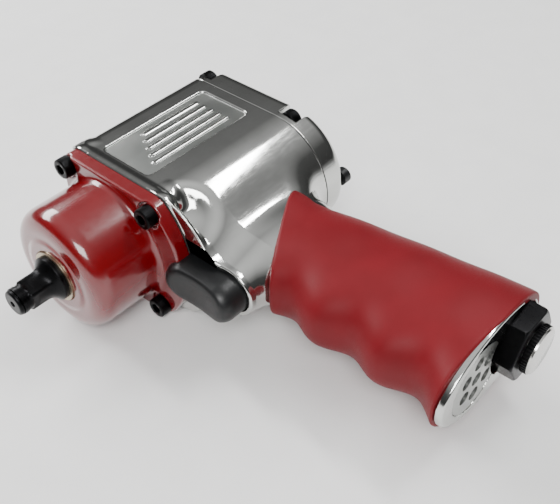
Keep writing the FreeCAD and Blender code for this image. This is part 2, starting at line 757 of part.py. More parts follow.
liner_tube = rod("liner_tube", front_end, "plate_radius", "liner_length")
liner_bore = rod("liner_bore_tool", front_end + " - 1", "liner_bore", "liner_length + 2", "-liner_offset")
liner_ports = [column(f"liner_port_{index}", f"{front_end} + liner_length * {index} / 4", "-plate_radius - 1",
                      "2", "8") for index in (1, 2, 3)]
keep(cut("cylinder_liner_solid", liner_tube, liner_bore, dowel_holes[1], *liner_ports), "cylinder_liner")
keep(rod("cylinder_dowel", front_end + " - 3.5", "dowel_radius", "liner_length + 7", "dowel_up"), "cylinder_dowel")

rotor_turned = turned("rotor_turned", [
    ("-cage_back + free", "0"), ("-cage_back + free", "shaft_front"),
    (front_end + " + loose", "shaft_front"), (front_end + " + loose", "rotor_radius"),
    (liner_end + " - loose", "rotor_radius"), (liner_end + " - loose", "shaft_back"),
    ("shaft_back_end", "shaft_back"), ("shaft_back_end", "0")])
rotor_square = block("rotor_square_end", "-cage_back - cage_back_wall + 0.3", "-rotor_square / 2",
                     "-rotor_square / 2", "cage_back_wall + 0.4", "rotor_square", "rotor_square")
rotor_sum = fuse("rotor_sum", rotor_turned, rotor_square)
pilot_bore = rod("rotor_pilot_bore", "-cage_back - cage_back_wall", "pilot_radius + run",
                 "cage_back_wall + 1")


def radial_block(name, index, start, length, low, high, thick):
    """A slab along the rotor, turned to its place round the drive axis."""
    item = doc.addObject("Part::Box", name)
    bind(item, "Length", length)
    bind(item, "Width", f"{high} - ({low})")
    bind(item, "Height", thick)
    angle = 360.0 / VANES * index + 30.0
    cosine, sine = math.cos(math.radians(angle)), math.sin(math.radians(angle))
    across = f"({low}) * {cosine} + ({thick}) / 2 * {sine}"
    above = f"({low}) * {sine} - ({thick}) / 2 * {cosine}"
    return place(item, (start, across, "axis_height + " + above), Rotation(Vector(1, 0, 0), angle))


slots = [radial_block(f"vane_slot_{index}", index, front_end, "liner_length", "slot_floor", "rotor_radius + 2",
                      "vane_thick + 2 * fit") for index in range(VANES)]
keep(cut("rotor_solid", rotor_sum, pilot_bore, *slots), "rotor")
for index in range(VANES):
    vane = radial_block(f"vane_slab_{index}", index, front_end + " + 0.4", "liner_length - 0.8",
                        "vane_tip - vane_tall", "vane_tip", "vane_thick")
    keep(vane, f"vane_{index + 1}")

# Trigger with its push rod, guide and spring
trigger_block = shroud("trigger_block", "-trigger_reach", "trigger_reach + trigger_tail", "0")
trigger_soft = rounded("trigger_soft", trigger_block, "trigger_edge",
                       lambda edge: lies_at_x(edge, -SIZES["trigger_reach"]))
dish = primitive("Cylinder", "trigger_dish_tool",
                 ("-trigger_reach - dish_radius + trigger_dish", "-trigger_top - trigger_tall / 2",
                  "axis_height - 2 * trigger_half_width"),
                 ALONG_Z, Radius="dish_radius", Height="4 * trigger_half_width")
spring_pocket = rod("trigger_spring_pocket", "trigger_tail - 5", "guide_radius", "6", "-rod_drop")
rod_hole = rod("trigger_rod_hole", "0", "rod_radius + fit", "trigger_tail", "-rod_drop")
keep(cut("trigger_solid", trigger_soft, dish, spring_pocket, rod_hole), "trigger")
keep(rod("trigger_rod", "0.2", "rod_radius", "valve_x - stem_radius - 0.3 - 0.2", "-rod_drop"), "trigger_rod")
keep(turned("trigger_guide", ring(pocket_floor, pocket_floor + " + guide_length", "rod_radius + run",
                                  "guide_radius"), "-rod_drop"), "trigger_guide")


def spring(label, at, turn, radius, wire, length, turns):
    """A coil spring of round wire with its axis along the local Z."""
    coil = Part.makeHelix(length / turns, length, radius)
    section = Part.Wire(Part.makeCircle(wire, Vector(radius, 0, 0), Vector(0, 1, 0)))
    item = doc.addObject("Part::Feature", label + "_coil")
    item.Shape = Part.Wire(coil).makePipeShell([section], True, True)
    item.Placement = Placement(at, turn)
    return keep(item, label)


axis_z = SIZES["axis_height"]
spring("trigger_spring", Vector(SIZES["trigger_tail"] - 4.2, -SIZES["rod_drop"], axis_z), ALONG_X, 3.0, 0.45,
       SIZES["trigger_travel"] + 3.4, 6)

# Throttle: a tilting valve that the push rod tips off its seat
keep(turned_upright("throttle_seat", [
    ("seat_bore", "chamber_step + fit"), ("seat_bore", "chamber_step + seat_tall"),
    ("chamber_radius - fit", "chamber_step + seat_tall"), ("chamber_radius - fit", "chamber_step + fit")],
    "valve_x"), "throttle_seat")
disc_top = "chamber_step + seat_tall + 0.4"
keep(turned_upright("throttle_valve", [
    ("0", "stem_top"), ("stem_radius", "stem_top"), ("stem_radius", disc_top), ("valve_disc", disc_top),
    ("valve_disc", disc_top + " + disc_tall"), ("0", disc_top + " + disc_tall")], "valve_x"), "throttle_valve")
spring_top = SIZES["chamber_step"] + SIZES["seat_tall"] + 0.4 + SIZES["disc_tall"] + 0.7
spring("throttle_spring", Vector(SIZES["valve_x"], -spring_top - 16, axis_z), ALONG_Y, 4.0, 0.5, 15.0, 6)
keep(turned_upright("throttle_spring_seat", [
    ("2.5", f"{spring_top + 16.6}"), ("2.5", f"{spring_top + 18.6}"),
    ("chamber_radius - fit", f"{spring_top + 18.6}"), ("chamber_radius - fit", f"{spring_top + 16.6}")],
    "valve_x"), "throttle_spring_seat")

# Handle end: exhaust plate, muffler, inlet fitting and transport plug
plate_blank = exhaust_pocket("exhaust_plate_blank", "handle_end - plate_sink", "plate_thick - fit",
                             "plate_long", "plate_wide")
vents = [column("vent_0", "exhaust_x", "-handle_end - 1", "vent_radius", "5")]
for index in range(6):
    angle = math.radians(60 * index + 30)
    vents.append(column(f"vent_{index + 1}", f"exhaust_x + vent_circle * {math.cos(angle)}", "-handle_end - 1",
                        "vent_radius", "5", f"vent_circle * {math.sin(angle)}"))
bush_gap = column("plate_bush_gap", "inlet_x", "-handle_end - 1", "hex_flats / sqrt(3) + hex_gap", "5")
keep(cut("exhaust_plate_solid", plate_blank, bush_gap, *vents), "exhaust_plate")
muffler_blank = exhaust_pocket("exhaust_muffler_blank", "handle_end - plate_sink - plate_thick - fit",
                               "muffler_tall - 2 * plate_thick - free", "muffler_long", "muffler_wide")
keep(cut("exhaust_muffler_solid", muffler_blank,
         column("muffler_bush_gap", "inlet_x", "-handle_end - 1", "hex_flats / sqrt(3) + hex_gap",
                "muffler_tall + 1")), "exhaust_muffler")

collar_top = "handle_end - inlet_sink + washer_tall"
bush_blank = turned_upright("inlet_bush_blank", [
    ("thread_radius - 0.7", "bush_top"), ("inlet_bore - loose", "bush_top"), ("inlet_bore - loose", collar_top),
    ("collar_radius", collar_top), ("collar_radius", collar_top + " + collar_tall"),
    ("thread_radius", collar_top + " + collar_tall"),
    ("thread_radius", "inlet_end - mouth_depth - thread_length"),
    ("thread_radius - 0.7", "inlet_end - mouth_depth - thread_length")], "inlet_x")
hexagon = primitive("Prism", "inlet_hexagon", ("inlet_x", "-inlet_end", "axis_height"), ALONG_Y,
                    Circumradius="hex_flats / sqrt(3)", Height=f"inlet_end - ({collar_top}) - collar_tall + 0.2")
hexagon.Polygon = 6
hex_bore = column("inlet_hex_bore", "inlet_x", "-inlet_end - 1", "thread_radius", "inlet_end + 1 - bush_top - 8")
mouth = column("inlet_mouth", "inlet_x", "-inlet_end - 1", "mouth_radius", "mouth_depth + 1")
keep(cut("inlet_bushing_solid", fuse("inlet_bush_sum", bush_blank, hexagon), hex_bore, mouth), "inlet_bushing")
keep(turned_upright("inlet_washer", [
    ("inlet_bore + fit", "handle_end - inlet_sink + fit"), ("washer_outer", "handle_end - inlet_sink + fit"),
    ("washer_outer", collar_top + " - fit"), ("inlet_bore + fit", collar_top + " - fit")], "inlet_x"),
    "inlet_washer")
screen_disc = column("screen_disc", "inlet_x", "-bush_top - 2", "thread_radius - 0.75", "1")
screen_holes = [column(f"screen_hole_{index}", f"inlet_x + 3 * {math.cos(math.radians(60 * index))}",
                       "-bush_top - 3", "1", "3", f"3 * {math.sin(math.radians(60 * index))}")
                for index in range(6)]
keep(cut("inlet_screen_solid", screen_disc, *screen_holes), "inlet_screen")
keep(turned_upright("transport_plug", [
    ("0", "inlet_end - mouth_depth + 0.3"), ("plug_stub", "inlet_end - mouth_depth + 0.3"),
    ("plug_stub", "inlet_end + 0.3"), ("plug_radius", "inlet_end + 0.3"),
    ("plug_radius", "inlet_end + 0.3 + plug_tall"), ("0", "inlet_end + 0.3 + plug_tall")], "inlet_x"),
    "transport_plug")

# Reverse valve with its lever on the back of the cover
valve_start = cover_start + " + reverse_gap"
valve_drum = rod("reverse_drum", valve_start, "reverse_radius", "reverse_length", "-reverse_drop")
valve_shaft = rod("reverse_shaft_rod", valve_start, "reverse_shaft",
                  "cover_length - reverse_gap + 0.4 + lever_thick", "-reverse_drop")
valve_port = block("reverse_port", valve_start + " - 1", "-reverse_drop - reverse_radius", "-3",
                   "reverse_length - 1", "reverse_radius - reverse_shaft", "6")
keep(cut("reverse_valve_solid", fuse("reverse_sum", valve_drum, valve_shaft), valve_port), "reverse_valve")
lever_start = cover_start + " + cover_length + 0.4"
lever_hub = rod("lever_hub", lever_start, "reverse_shaft + 2.5", "lever_thick", "-reverse_drop")
lever_arm = block("lever_arm", lever_start, "-reverse_drop - lever_reach", "-lever_half_width", "lever_thick",
                  "lever_reach", "2 * lever_half_width")
lever_tip = rod("lever_tip", lever_start, "lever_half_width + 1", "lever_thick + 1.2",
                "-reverse_drop - lever_reach + 1")
lever_bore = rod("lever_bore", lever_start + " - 1", "reverse_shaft + fit", "lever_thick + 2", "-reverse_drop")
keep(cut("reverse_lever_solid", fuse("lever_sum", lever_hub, lever_arm, lever_tip), lever_bore), "reverse_lever")

doc.recompute()
for item in doc.Objects:
    if "Invalid" in item.State or "Error" in item.State:
        raise RuntimeError(f"{item.Name} failed: {item.State}")
os.makedirs("parts", exist_ok=True)
for item in nodes:
    if item.Shape.isNull() or not item.Shape.isValid() or not item.Shape.Solids:
        raise RuntimeError(item.Label + " has no valid solid")
    item.Shape.exportStep(f"parts/{item.Label}.step")
print(len(nodes), "nodes")
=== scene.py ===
"""Looks of the compact air impact wrench: cast shells, rubber grip, fasteners, finishes and studio.

The shells are level sets of signed distances, in millimetres from the drive axis, meshed by a
surface net. Sizes of mating features come from the frame's own nodes.
"""
import json
import logging
import math
from dataclasses import dataclass
from enum import Enum
from typing import Callable, Sequence

import bpy
import numpy as np
from mathutils import Matrix, Vector


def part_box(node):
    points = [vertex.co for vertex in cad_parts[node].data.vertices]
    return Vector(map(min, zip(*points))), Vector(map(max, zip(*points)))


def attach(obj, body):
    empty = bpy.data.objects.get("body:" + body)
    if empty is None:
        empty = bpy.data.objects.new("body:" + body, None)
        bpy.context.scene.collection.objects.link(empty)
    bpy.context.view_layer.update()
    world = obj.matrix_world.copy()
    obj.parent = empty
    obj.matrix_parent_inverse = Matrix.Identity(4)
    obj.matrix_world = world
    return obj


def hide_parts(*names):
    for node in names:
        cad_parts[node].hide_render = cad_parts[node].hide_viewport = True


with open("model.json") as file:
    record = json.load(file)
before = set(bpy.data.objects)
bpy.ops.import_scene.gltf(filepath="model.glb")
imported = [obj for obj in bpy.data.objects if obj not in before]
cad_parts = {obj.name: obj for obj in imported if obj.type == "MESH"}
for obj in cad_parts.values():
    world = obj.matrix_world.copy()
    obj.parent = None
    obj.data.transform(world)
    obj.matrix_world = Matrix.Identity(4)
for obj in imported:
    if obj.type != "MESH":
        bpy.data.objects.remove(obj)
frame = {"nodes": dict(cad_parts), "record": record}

LOG = logging.getLogger("impact_wrench")
MM = 0.001
Field = Callable[[np.ndarray, np.ndarray, np.ndarray], np.ndarray]


class Facing(Enum):
    """Which way along X a screw head looks."""

    NOSE = -1.0
    BACK = 1.0


def node_box(name: str) -> tuple[np.ndarray, np.ndarray]:
    """Corners of a CAD node in millimetres.

    Args:
        name: The node's name.

    Returns:
        Its lowest and highest corners.
    """
    low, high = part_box(name)
    return np.array(low) / MM, np.array(high) / MM


AXIS_HEIGHT = float(sum(corner[2] for corner in node_box("rotor")) / 2)
SCREW_HEAD = 4.25        # radius of a cap screw's head
SCREW_CLEARANCE = 2.7    # radius of the hole that a screw passes through


def axis_box(name: str) -> tuple[np.ndarray, np.ndarray]:
    """Corners of a CAD node in millimetres, their height measured from the drive axis.

    Args:
        name: The node's name.

    Returns:
        Its lowest and highest corners.
    """
    low, high = node_box(name)
    shift = np.array([0.0, 0.0, AXIS_HEIGHT])
    return low - shift, high - shift


# ---------------------------------------------------------------- signed distances

def join(first: np.ndarray, second: np.ndarray, soft: float = 0.0) -> np.ndarray:
    """Union of two solids with a concave blend of about the given width.

    Args:
        first: Distances to one solid.
        second: Distances to the other.
        soft: Width of the blend in millimetres.

    Returns:
        Distances to the union.
    """
    if soft <= 0.0:
        return np.minimum(first, second)
    share = np.clip(0.5 + 0.5 * (second - first) / soft, 0.0, 1.0)
    return second + (first - second) * share - soft * share * (1.0 - share)


def meet(first: np.ndarray, second: np.ndarray, soft: float = 0.0) -> np.ndarray:
    """Space that both solids share, its edge rounded by about the given width.

    Args:
        first: Distances to one solid.
        second: Distances to the other.
        soft: Width of the rounding in millimetres.

    Returns:
        Distances to the shared space.
    """
    return -join(-first, -second, soft=soft)


def between(value: np.ndarray, low: float, high: float) -> np.ndarray:
    """Distance to the slab between two parallel planes.

    Args:
        value: The coordinate across the slab.
        low: Its lower face.
        high: Its upper face.

    Returns:
        Distances to the slab.
    """
    return np.maximum(low - value, value - high)


def rounded_rect(across: np.ndarray, up: np.ndarray, low: Sequence[float], high: Sequence[float],
                 radius: float) -> np.ndarray:
    """Distance to a rectangle with round corners, without end along the third axis.

    Args:
        across: First coordinate.
        up: Second coordinate.
        low: Lower corner.
        high: Upper corner.
        radius: Corner radius.

    Returns:
        Distances to the prism.
    """
    side = np.abs(across - (low[0] + high[0]) / 2) - (high[0] - low[0]) / 2 + radius
    rise = np.abs(up - (low[1] + high[1]) / 2) - (high[1] - low[1]) / 2 + radius
    outside = np.hypot(np.maximum(side, 0.0), np.maximum(rise, 0.0))
    return outside + np.minimum(np.maximum(side, rise), 0.0) - radius


def corner_places(node: str, head: float) -> list[tuple[float, float]]:
    """Centres of the four screws in one node, seen along the drive axis.

    Args:
        node: Name of the screw node.
        head: Head radius in millimetres.

    Returns:
        Four (y, z) pairs measured from the drive axis.
    """
    low, high = node_box(node)
    return [(up, side - AXIS_HEIGHT) for up in (low[1] + head, high[1] - head)
            for side in (low[2] + head, high[2] - head)]


# ---------------------------------------------------------------- meshing

def surface_net(field: Field, low: Sequence[float], high: Sequence[float], step: float
                ) -> tuple[np.ndarray, np.ndarray]:
    """Mesh the zero level of a field: one point per crossed cell, one quad per crossed grid edge.

    Args:
        field: Signed distances of x, y and z arrays in millimetres.
        low: Lowest corner of the grid.
        high: Highest corner of the grid.
        step: Cell size.

    Returns:
        Points as an (n, 3) array and quads as an (m, 4) array of point numbers.
    """
    axes = [np.arange(a, b + step, step) for a, b in zip(low, high)]
    grid = field(axes[0][:, None, None], axes[1][None, :, None], axes[2][None, None, :])
    shape = tuple(len(axis) for axis in axes)
    grid = np.ascontiguousarray(np.broadcast_to(grid, shape))
    solid = grid < 0.0
    filled = np.zeros(tuple(count - 1 for count in shape), dtype=np.int8)
    corners = [(i, j, k) for i in (0, 1) for j in (0, 1) for k in (0, 1)]
    for i, j, k in corners:
        filled += solid[i:shape[0] - 1 + i, j:shape[1] - 1 + j, k:shape[2] - 1 + k]
    cells = np.argwhere((filled > 0) & (filled < 8))
    number = np.full(filled.shape, -1, dtype=np.int64)
    number[tuple(cells.T)] = np.arange(len(cells))
    total = np.zeros((len(cells), 3))
    hits = np.zeros(len(cells))
    for corner in corners:
        for axis in range(3):
            if corner[axis]:
                continue
            other = np.array(corner)
            other[axis] = 1
            first = grid[tuple((cells + corner).T)]
            second = grid[tuple((cells + other).T)]
            crossed = (first < 0.0) != (second < 0.0)
            share = np.where(crossed, first / np.where(crossed, first - second, 1.0), 0.0)
            point = np.tile(np.array(corner, dtype=float), (len(cells), 1))
            point[:, axis] = share
            total += point * crossed[:, None]
            hits += crossed
    points = np.array(low) + (cells + total / hits[:, None]) * step
    quads = []
    for axis in range(3):
        side, rise = [other for other in range(3) if other != axis]
        start = [slice(None)] * 3
        end = [slice(None)] * 3
        start[axis], end[axis] = slice(None, -1), slice(1, None)
        crossed = solid[tuple(start)] != solid[tuple(end)]
        places = np.argwhere(crossed)
        places = places[(places[:, side] > 0) & (places[:, rise] > 0)]
        places = places[(places[:, side] < shape[side] - 1) & (places[:, rise] < shape[rise] - 1)]
        offsets = np.zeros((4, 3), dtype=int)
        offsets[1, side] = offsets[2, side] = offsets[2, rise] = offsets[3, rise] = -1
        ring = np.stack([number[tuple((places + offset).T)] for offset in offsets], axis=1)
        outward = solid[tuple(places.T)] == (axis != 1)
        quads.append(np.where(outward[:, None], ring, ring[:, ::-1]))
    return points, np.concatenate(quads)


def slope(field: Field, points: np.ndarray, reach: float = 0.03) -> np.ndarray:
    """Gradient of the field at some points by central differences.

    Args:
        field: Signed distances.
        points: Places as an (n, 3) array.
        reach: Half the difference's width in millimetres.

    Returns:
        Gradients as an (n, 3) array.
    """
    result = np.empty_like(points)
    for axis in range(3):
        ahead, behind = points.copy(), points.copy()
        ahead[:, axis] += reach
        behind[:, axis] -= reach
        result[:, axis] = (field(*ahead.T) - field(*behind.T)) / (2 * reach)
    return result


def make_object(name: str, points: np.ndarray, faces: np.ndarray, finish: "Finish",
                normals: np.ndarray | None = None) -> bpy.types.Object:
    """A mesh object from points in millimetres, measured from the drive axis.

    Args:
        name: Name of the object.
        points: An (n, 3) array.
        faces: An (m, k) array of point numbers, k corners a face.
        finish: The finish of the first material slot.
        normals: Optional smooth normals, one per point.

    Returns:
        The new object, smooth shaded, at the origin.
    """
    mesh = bpy.data.meshes.new(name)
    count, corners = faces.shape
    placed = (points + np.array([0.0, 0.0, AXIS_HEIGHT])) * MM
    mesh.vertices.add(len(points))
    mesh.vertices.foreach_set("co", placed.astype(np.float32).ravel())
    mesh.loops.add(count * corners)
    mesh.loops.foreach_set("vertex_index", faces.astype(np.int32).ravel())
    mesh.polygons.add(count)
    mesh.polygons.foreach_set("loop_start", np.arange(0, count * corners, corners, dtype=np.int32))
    mesh.update(calc_edges=True)
    mesh.validate()
    mesh.shade_smooth()
    if normals is not None:
        mesh.normals_split_custom_set_from_vertices(normals.tolist())
    piece = bpy.data.objects.new(name, mesh)
    bpy.context.scene.collection.objects.link(piece)
    piece.data.materials.append(finish.material())
    return piece


def cast(name: str, field: Field, low: Sequence[float], high: Sequence[float], step: float,
         finish: "Finish") -> bpy.types.Object:
    """Mesh a field and pull its points onto the exact surface with exact normals.

    Args:
        name: Name of the object.
        field: Signed distances.
        low: Lowest corner to mesh.
        high: Highest corner to mesh.
        step: Cell size in millimetres.
        finish: The piece's finish.

    Returns:
        The new object.
    """
    edge = np.full(3, 1.5 * step)
    points, quads = surface_net(field, np.array(low) - edge, np.array(high) + edge, step)
    for _ in range(3):
        lean = slope(field, points)
        steep = np.maximum((lean ** 2).sum(axis=1), 0.05)
        move = lean * (field(*points.T) / steep)[:, None]
        points = points - np.clip(move, -0.5 * step, 0.5 * step)
    points = np.clip(points, np.array(low), np.array(high))
    lean = slope(field, points)
    normals = lean / np.maximum(np.linalg.norm(lean, axis=1, keepdims=True), 1e-6)
    LOG.info("%s: %d quads", name, len(quads))
    return make_object(name, points, quads, finish, normals)


def lathe(profile: Sequence[tuple[float, float]],
          ripple: Callable[[np.ndarray, np.ndarray], np.ndarray],
          spokes: int) -> tuple[np.ndarray, np.ndarray]:
    """A closed turned surface: each (place, radius) of the profile is swept round, radius times ripple.

    Args:
        profile: Places along the axis with their radii, the first and last at radius zero or near it.
        ripple: Factor on the radius for every (profile row, angle).
        spokes: Number of steps round the axis.

    Returns:
        Points with the axis along the first coordinate, and quads.
    """
    place = np.array([row[0] for row in profile])
    radius = np.array([row[1] for row in profile])
    angle = np.linspace(0.0, 2 * math.pi, spokes, endpoint=False)
    rows = np.arange(len(profile))
    factor = ripple(rows[:, None], angle[None, :])
    wide = radius[:, None] * factor
    along = np.broadcast_to(place[:, None], wide.shape)
    points = np.stack([along, wide * np.cos(angle), wide * np.sin(angle)], axis=2).reshape(-1, 3)
    index = np.arange(len(profile) * spokes).reshape(len(profile), spokes)
    right = np.roll(index, -1, axis=1)
    quads = np.stack([index[:-1], right[:-1], right[1:], index[1:]], axis=2).reshape(-1, 4)
    return points, quads


# ---------------------------------------------------------------- finishes

def colour(text: str) -> tuple[float, float, float, float]:
    """A screen colour as linear light.

    Args:
        text: Six hexadecimal digits.

    Returns:
        Red, green, blue and one.
    """
    parts = [int(text[start:start + 2], 16) / 255 for start in (0, 2, 4)]
    linear = [part / 12.92 if part <= 0.04045 else ((part + 0.055) / 1.055) ** 2.4 for part in parts]
    return (*linear, 1.0)


def add_node(tree: bpy.types.NodeTree, kind: str, values: dict[str, object] | None = None,
             links: dict[str, bpy.types.NodeSocket] | None = None, **settings: object) -> bpy.types.Node:
    """Add one shader node, set it up and link its inputs.

    Args:
        tree: The node tree.
        kind: Blender's node type.
        values: Constants by input name.
        links: Sockets to connect by input name.
        **settings: Properties of the node itself.

    Returns:
        The node.
    """
    node = tree.nodes.new(kind)
    for name, setting in settings.items():
        setattr(node, name, setting)
    for name, value in (values or {}).items():
        node.inputs[name].default_value = value
    for name, socket in (links or {}).items():
        tree.links.new(socket, node.inputs[name])
    return node


@dataclass(frozen=True)
class Finish:
    """One surface: what it is made of and how it was finished.

    grain_mm is the size of the finest pattern, wear how far roughness wanders, and bump_mm the
    height of the grain. stretch makes the grain longer along X, Y and Z.
    """

    title: str
    tint: str
    shade: str
    metal: float
    rough: float
    wear: float
    grain_mm: float
    bump_mm: float
    coat: float = 0.0
    stretch: tuple[float, float, float] = (1.0, 1.0, 1.0)
    patch_mm: float = 18.0
    specular: float = 0.5

    def material(self) -> bpy.types.Material:
        """The node material, made once and then shared.

        Returns:
            The Blender material.
        """
        found = bpy.data.materials.get(self.title)
        if found:
            return found
        made = bpy.data.materials.new(self.title)
        made.use_nodes = True
        tree = made.node_tree
        tree.nodes.clear()
        place = add_node(tree, "ShaderNodeTexCoord").outputs["Object"]
        scaled = add_node(tree, "ShaderNodeMapping", {"Scale": self.stretch}, {"Vector": place})
        grain = add_node(tree, "ShaderNodeTexNoise", {"Scale": 1.0 / (self.grain_mm * MM), "Detail": 4.0},
                         {"Vector": scaled.outputs["Vector"]})
        patch = add_node(tree, "ShaderNodeTexNoise", {"Scale": 1.0 / (self.patch_mm * MM), "Detail": 3.0},
                         {"Vector": place})
        tone = add_node(tree, "ShaderNodeValToRGB", None, {"Fac": patch.outputs["Fac"]})
        tone.color_ramp.elements[0].position = 0.35
        tone.color_ramp.elements[1].position = 0.65
        tone.color_ramp.elements[0].color = colour(self.shade)
        tone.color_ramp.elements[1].color = colour(self.tint)
        spread = add_node(tree, "ShaderNodeMath", {1: 0.5}, {0: patch.outputs["Fac"]}, operation="ADD")
        mixed = add_node(tree, "ShaderNodeMath", None,
                         {0: spread.outputs["Value"], 1: grain.outputs["Fac"]}, operation="MULTIPLY")
        rough = add_node(tree, "ShaderNodeMapRange",
                         {"From Min": 0.3, "From Max": 0.7, "To Min": max(self.rough - self.wear, 0.02),
                          "To Max": self.rough + self.wear}, {"Value": mixed.outputs["Value"]})
        bump = add_node(tree, "ShaderNodeBump", {"Strength": 1.0, "Distance": self.bump_mm * MM},
                        {"Height": grain.outputs["Fac"]})
        shader = add_node(tree, "ShaderNodeBsdfPrincipled",
                          {"Metallic": self.metal, "Coat Weight": self.coat, "Coat Roughness": 0.04},
                          {"Base Color": tone.outputs["Color"], "Roughness": rough.outputs["Result"],
                           "Normal": bump.outputs["Normal"]})
        if self.metal < 0.5:
            shader.inputs["Specular IOR Level"].default_value = self.specular
        out = add_node(tree, "ShaderNodeOutputMaterial")
        tree.links.new(shader.outputs["BSDF"], out.inputs["Surface"])
        return made


# A thick clear-looking coat: sharp highlights over a faint orange peel.
ENAMEL = Finish("gloss red enamel, sprayed", "70040C", "67030B", 0.0, 0.22, 0.03, 2.6, 0.0012, coat=1.0)
# Mirror bright, with fine polishing lines that run along the tool.
POLISH = Finish("cast aluminium, mirror polished", "D3D4D1", "C8C9C6", 1.0, 0.10, 0.035, 1.1, 0.0016,
                stretch=(0.25, 1.0, 1.0))
# Even matt grey, duller than the casting round it: its darker tint is painted shade on the recessed panel
# floor.
PANEL_SHADE = Finish("cast aluminium, panel floor in painted shade", "A9ABA8", "9DA09D", 1.0, 0.34, 0.06, 0.35, 0.006)
# Soft wide sheen over a fine moulded grain.
RUBBER = Finish("red rubber, moulded", "700F18", "690D15", 0.0, 0.5, 0.06, 0.5, 0.012, specular=0.22)
# Near black, slightly oily and metallic.
OXIDE = Finish("alloy steel, black oxide", "202021", "161617", 1.0, 0.34, 0.08, 0.5, 0.006)
# Black with a faint mould texture and a dull gloss.
PLASTIC = Finish("black nylon, moulded", "141516", "101112", 0.0, 0.40, 0.07, 0.45, 0.008, specular=0.4)
# Bright and smooth, a touch warmer than aluminium.
PLATE = Finish("steel, bright nickel plated", "DAD9D5", "CFCECA", 1.0, 0.16, 0.05, 0.6, 0.003)
# Brush marks that spread the light across them.
SATIN = Finish("aluminium sheet, satin brushed", "BDBFBC", "B2B4B1", 1.0, 0.33, 0.07, 0.25, 0.005,
               stretch=(1.0, 1.0, 0.08))
# Ground lines along the axis and a grey gloss.
STEEL = Finish("alloy steel, ground", "A9AAAC", "9C9D9F", 1.0, 0.27, 0.08, 0.3, 0.004,
               stretch=(0.1, 1.0, 1.0))
# Pale porous metal with a soft gloss.
BRONZE = Finish("bronze, sintered", "BCAF96", "AEA189", 1.0, 0.30, 0.08, 0.4, 0.006)
# Dark, dry and slightly rough.
FIBRE = Finish("gasket fibre, pressed", "2B2B29", "232321", 0.0, 0.8, 0.08, 0.4, 0.02)
# Black pores that take nearly all the light.
FELT = Finish("grey felt, sintered", "242423", "1C1C1B", 0.0, 0.92, 0.05, 0.6, 0.05)
# Brown and waxy where it is cut.
LAMINATE = Finish("phenolic laminate, cut", "7A4A24", "6B401F", 0.0, 0.6, 0.08, 0.5, 0.01)
# White paper without gloss.
FLOOR = Finish("studio paper, matt", "F4F4F3", "F1F1F0", 0.0, 0.9, 0.03, 2.0, 0.01)

SLOT_FINISH = {
    "red_enamel": ENAMEL, "polished_aluminium": POLISH, "satin_aluminium": SATIN, "red_rubber": RUBBER,
    "black_oxide": OXIDE, "ground_steel": STEEL, "bright_plate": PLATE, "bronze": BRONZE,
    "dark_plastic": PLASTIC, "gasket_fibre": FIBRE, "grey_felt": FELT, "laminate": LAMINATE,
}

NODE_FINISH = {"friction_ring": OXIDE, "retainer_oring": PLASTIC}


def settle(piece: bpy.types.Object, body: str, slot: str, *nodes: str) -> None:
    """Let a piece ride on its body in place of some CAD nodes.

    Args:
        piece: The new piece.
        body: The CAD body it moves with.
        slot: The record's material slot; not used.
        *nodes: The CAD nodes it stands for.
    """
    if nodes:
        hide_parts(*nodes)
    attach(piece, body)


# ---------------------------------------------------------------- shells

@dataclass
class BlockOutline:
    """The outline that case flange and housing share, seen along the drive axis."""

    half_width: float = 29.0
    top: float = 27.5
    belly: float = 38.5
    corner: float = 5.0

    def field(self, y: np.ndarray, z: np.ndarray) -> np.ndarray:
        """Distance to the outline.

        Args:
            y: Up from the drive axis.
            z: Side from the drive axis.

        Returns:
            Distances in millimetres.
        """
        slab = rounded_rect(y, z, (-self.belly - 9, -self.half_width), (self.top, self.half_width),
                            self.corner)
        return meet(slab, np.hypot(y, z) - self.belly, soft=2.0)


@dataclass
class HammerCase:
    """The painted cup with its flange, spot faces and the boss round the anvil."""

    radius: float = 26.3
    wall: float = 3.5
    nose_wall: float = 4.5
    edge: float = 5.5
    boss: float = 15.0
    flange: float = 6.0
    spot: float = 5.4
    spot_depth: float = 1.5
    step: float = 0.6

    def build(self, outline: BlockOutline) -> bpy.types.Object:
        """Make the case.

        Args:
            outline: The shared block outline.

        Returns:
            The finished piece.
        """
        low, high = axis_box("hammer_case")
        bush_low, bush_high = node_box("anvil_bushing")
        front = low[0]
        opening = (bush_high[1] - bush_low[1]) / 2 + 0.03
        radius = self.radius
        screws = corner_places("front_case_screws", SCREW_HEAD)

        def field(x: np.ndarray, y: np.ndarray, z: np.ndarray) -> np.ndarray:
            """Distance to the hammer case."""
            reach = np.hypot(y, z)
            cup = meet(reach - radius, front + 0.5 - x, soft=1.45 * self.edge)
            boss = meet(reach - self.boss, front - x, soft=1.2)
            shell = join(cup, boss, soft=2.0)
            plate = meet(outline.field(y, z), -self.flange - x, soft=1.2)
            whole = join(shell, plate, soft=3.0)
            whole = meet(whole, x, soft=0.2)
            inside = meet(reach - (radius - self.wall), front + self.nose_wall - x, soft=2.0)
            whole = meet(whole, -inside, soft=0.4)
            whole = meet(whole, opening - reach, soft=0.5)
            for up, side in screws:
                away = np.hypot(y - up, z - side)
                pocket = meet(away - self.spot, x + self.flange - self.spot_depth, soft=0.6)
                whole = meet(whole, -pocket, soft=0.7)
                whole = meet(whole, SCREW_CLEARANCE - away, soft=0.2)
            return whole

        piece = cast("hammer_case_shell", field, low, high, self.step, ENAMEL)
        settle(piece, "tool_body", "red_enamel", "hammer_case")
        return piece


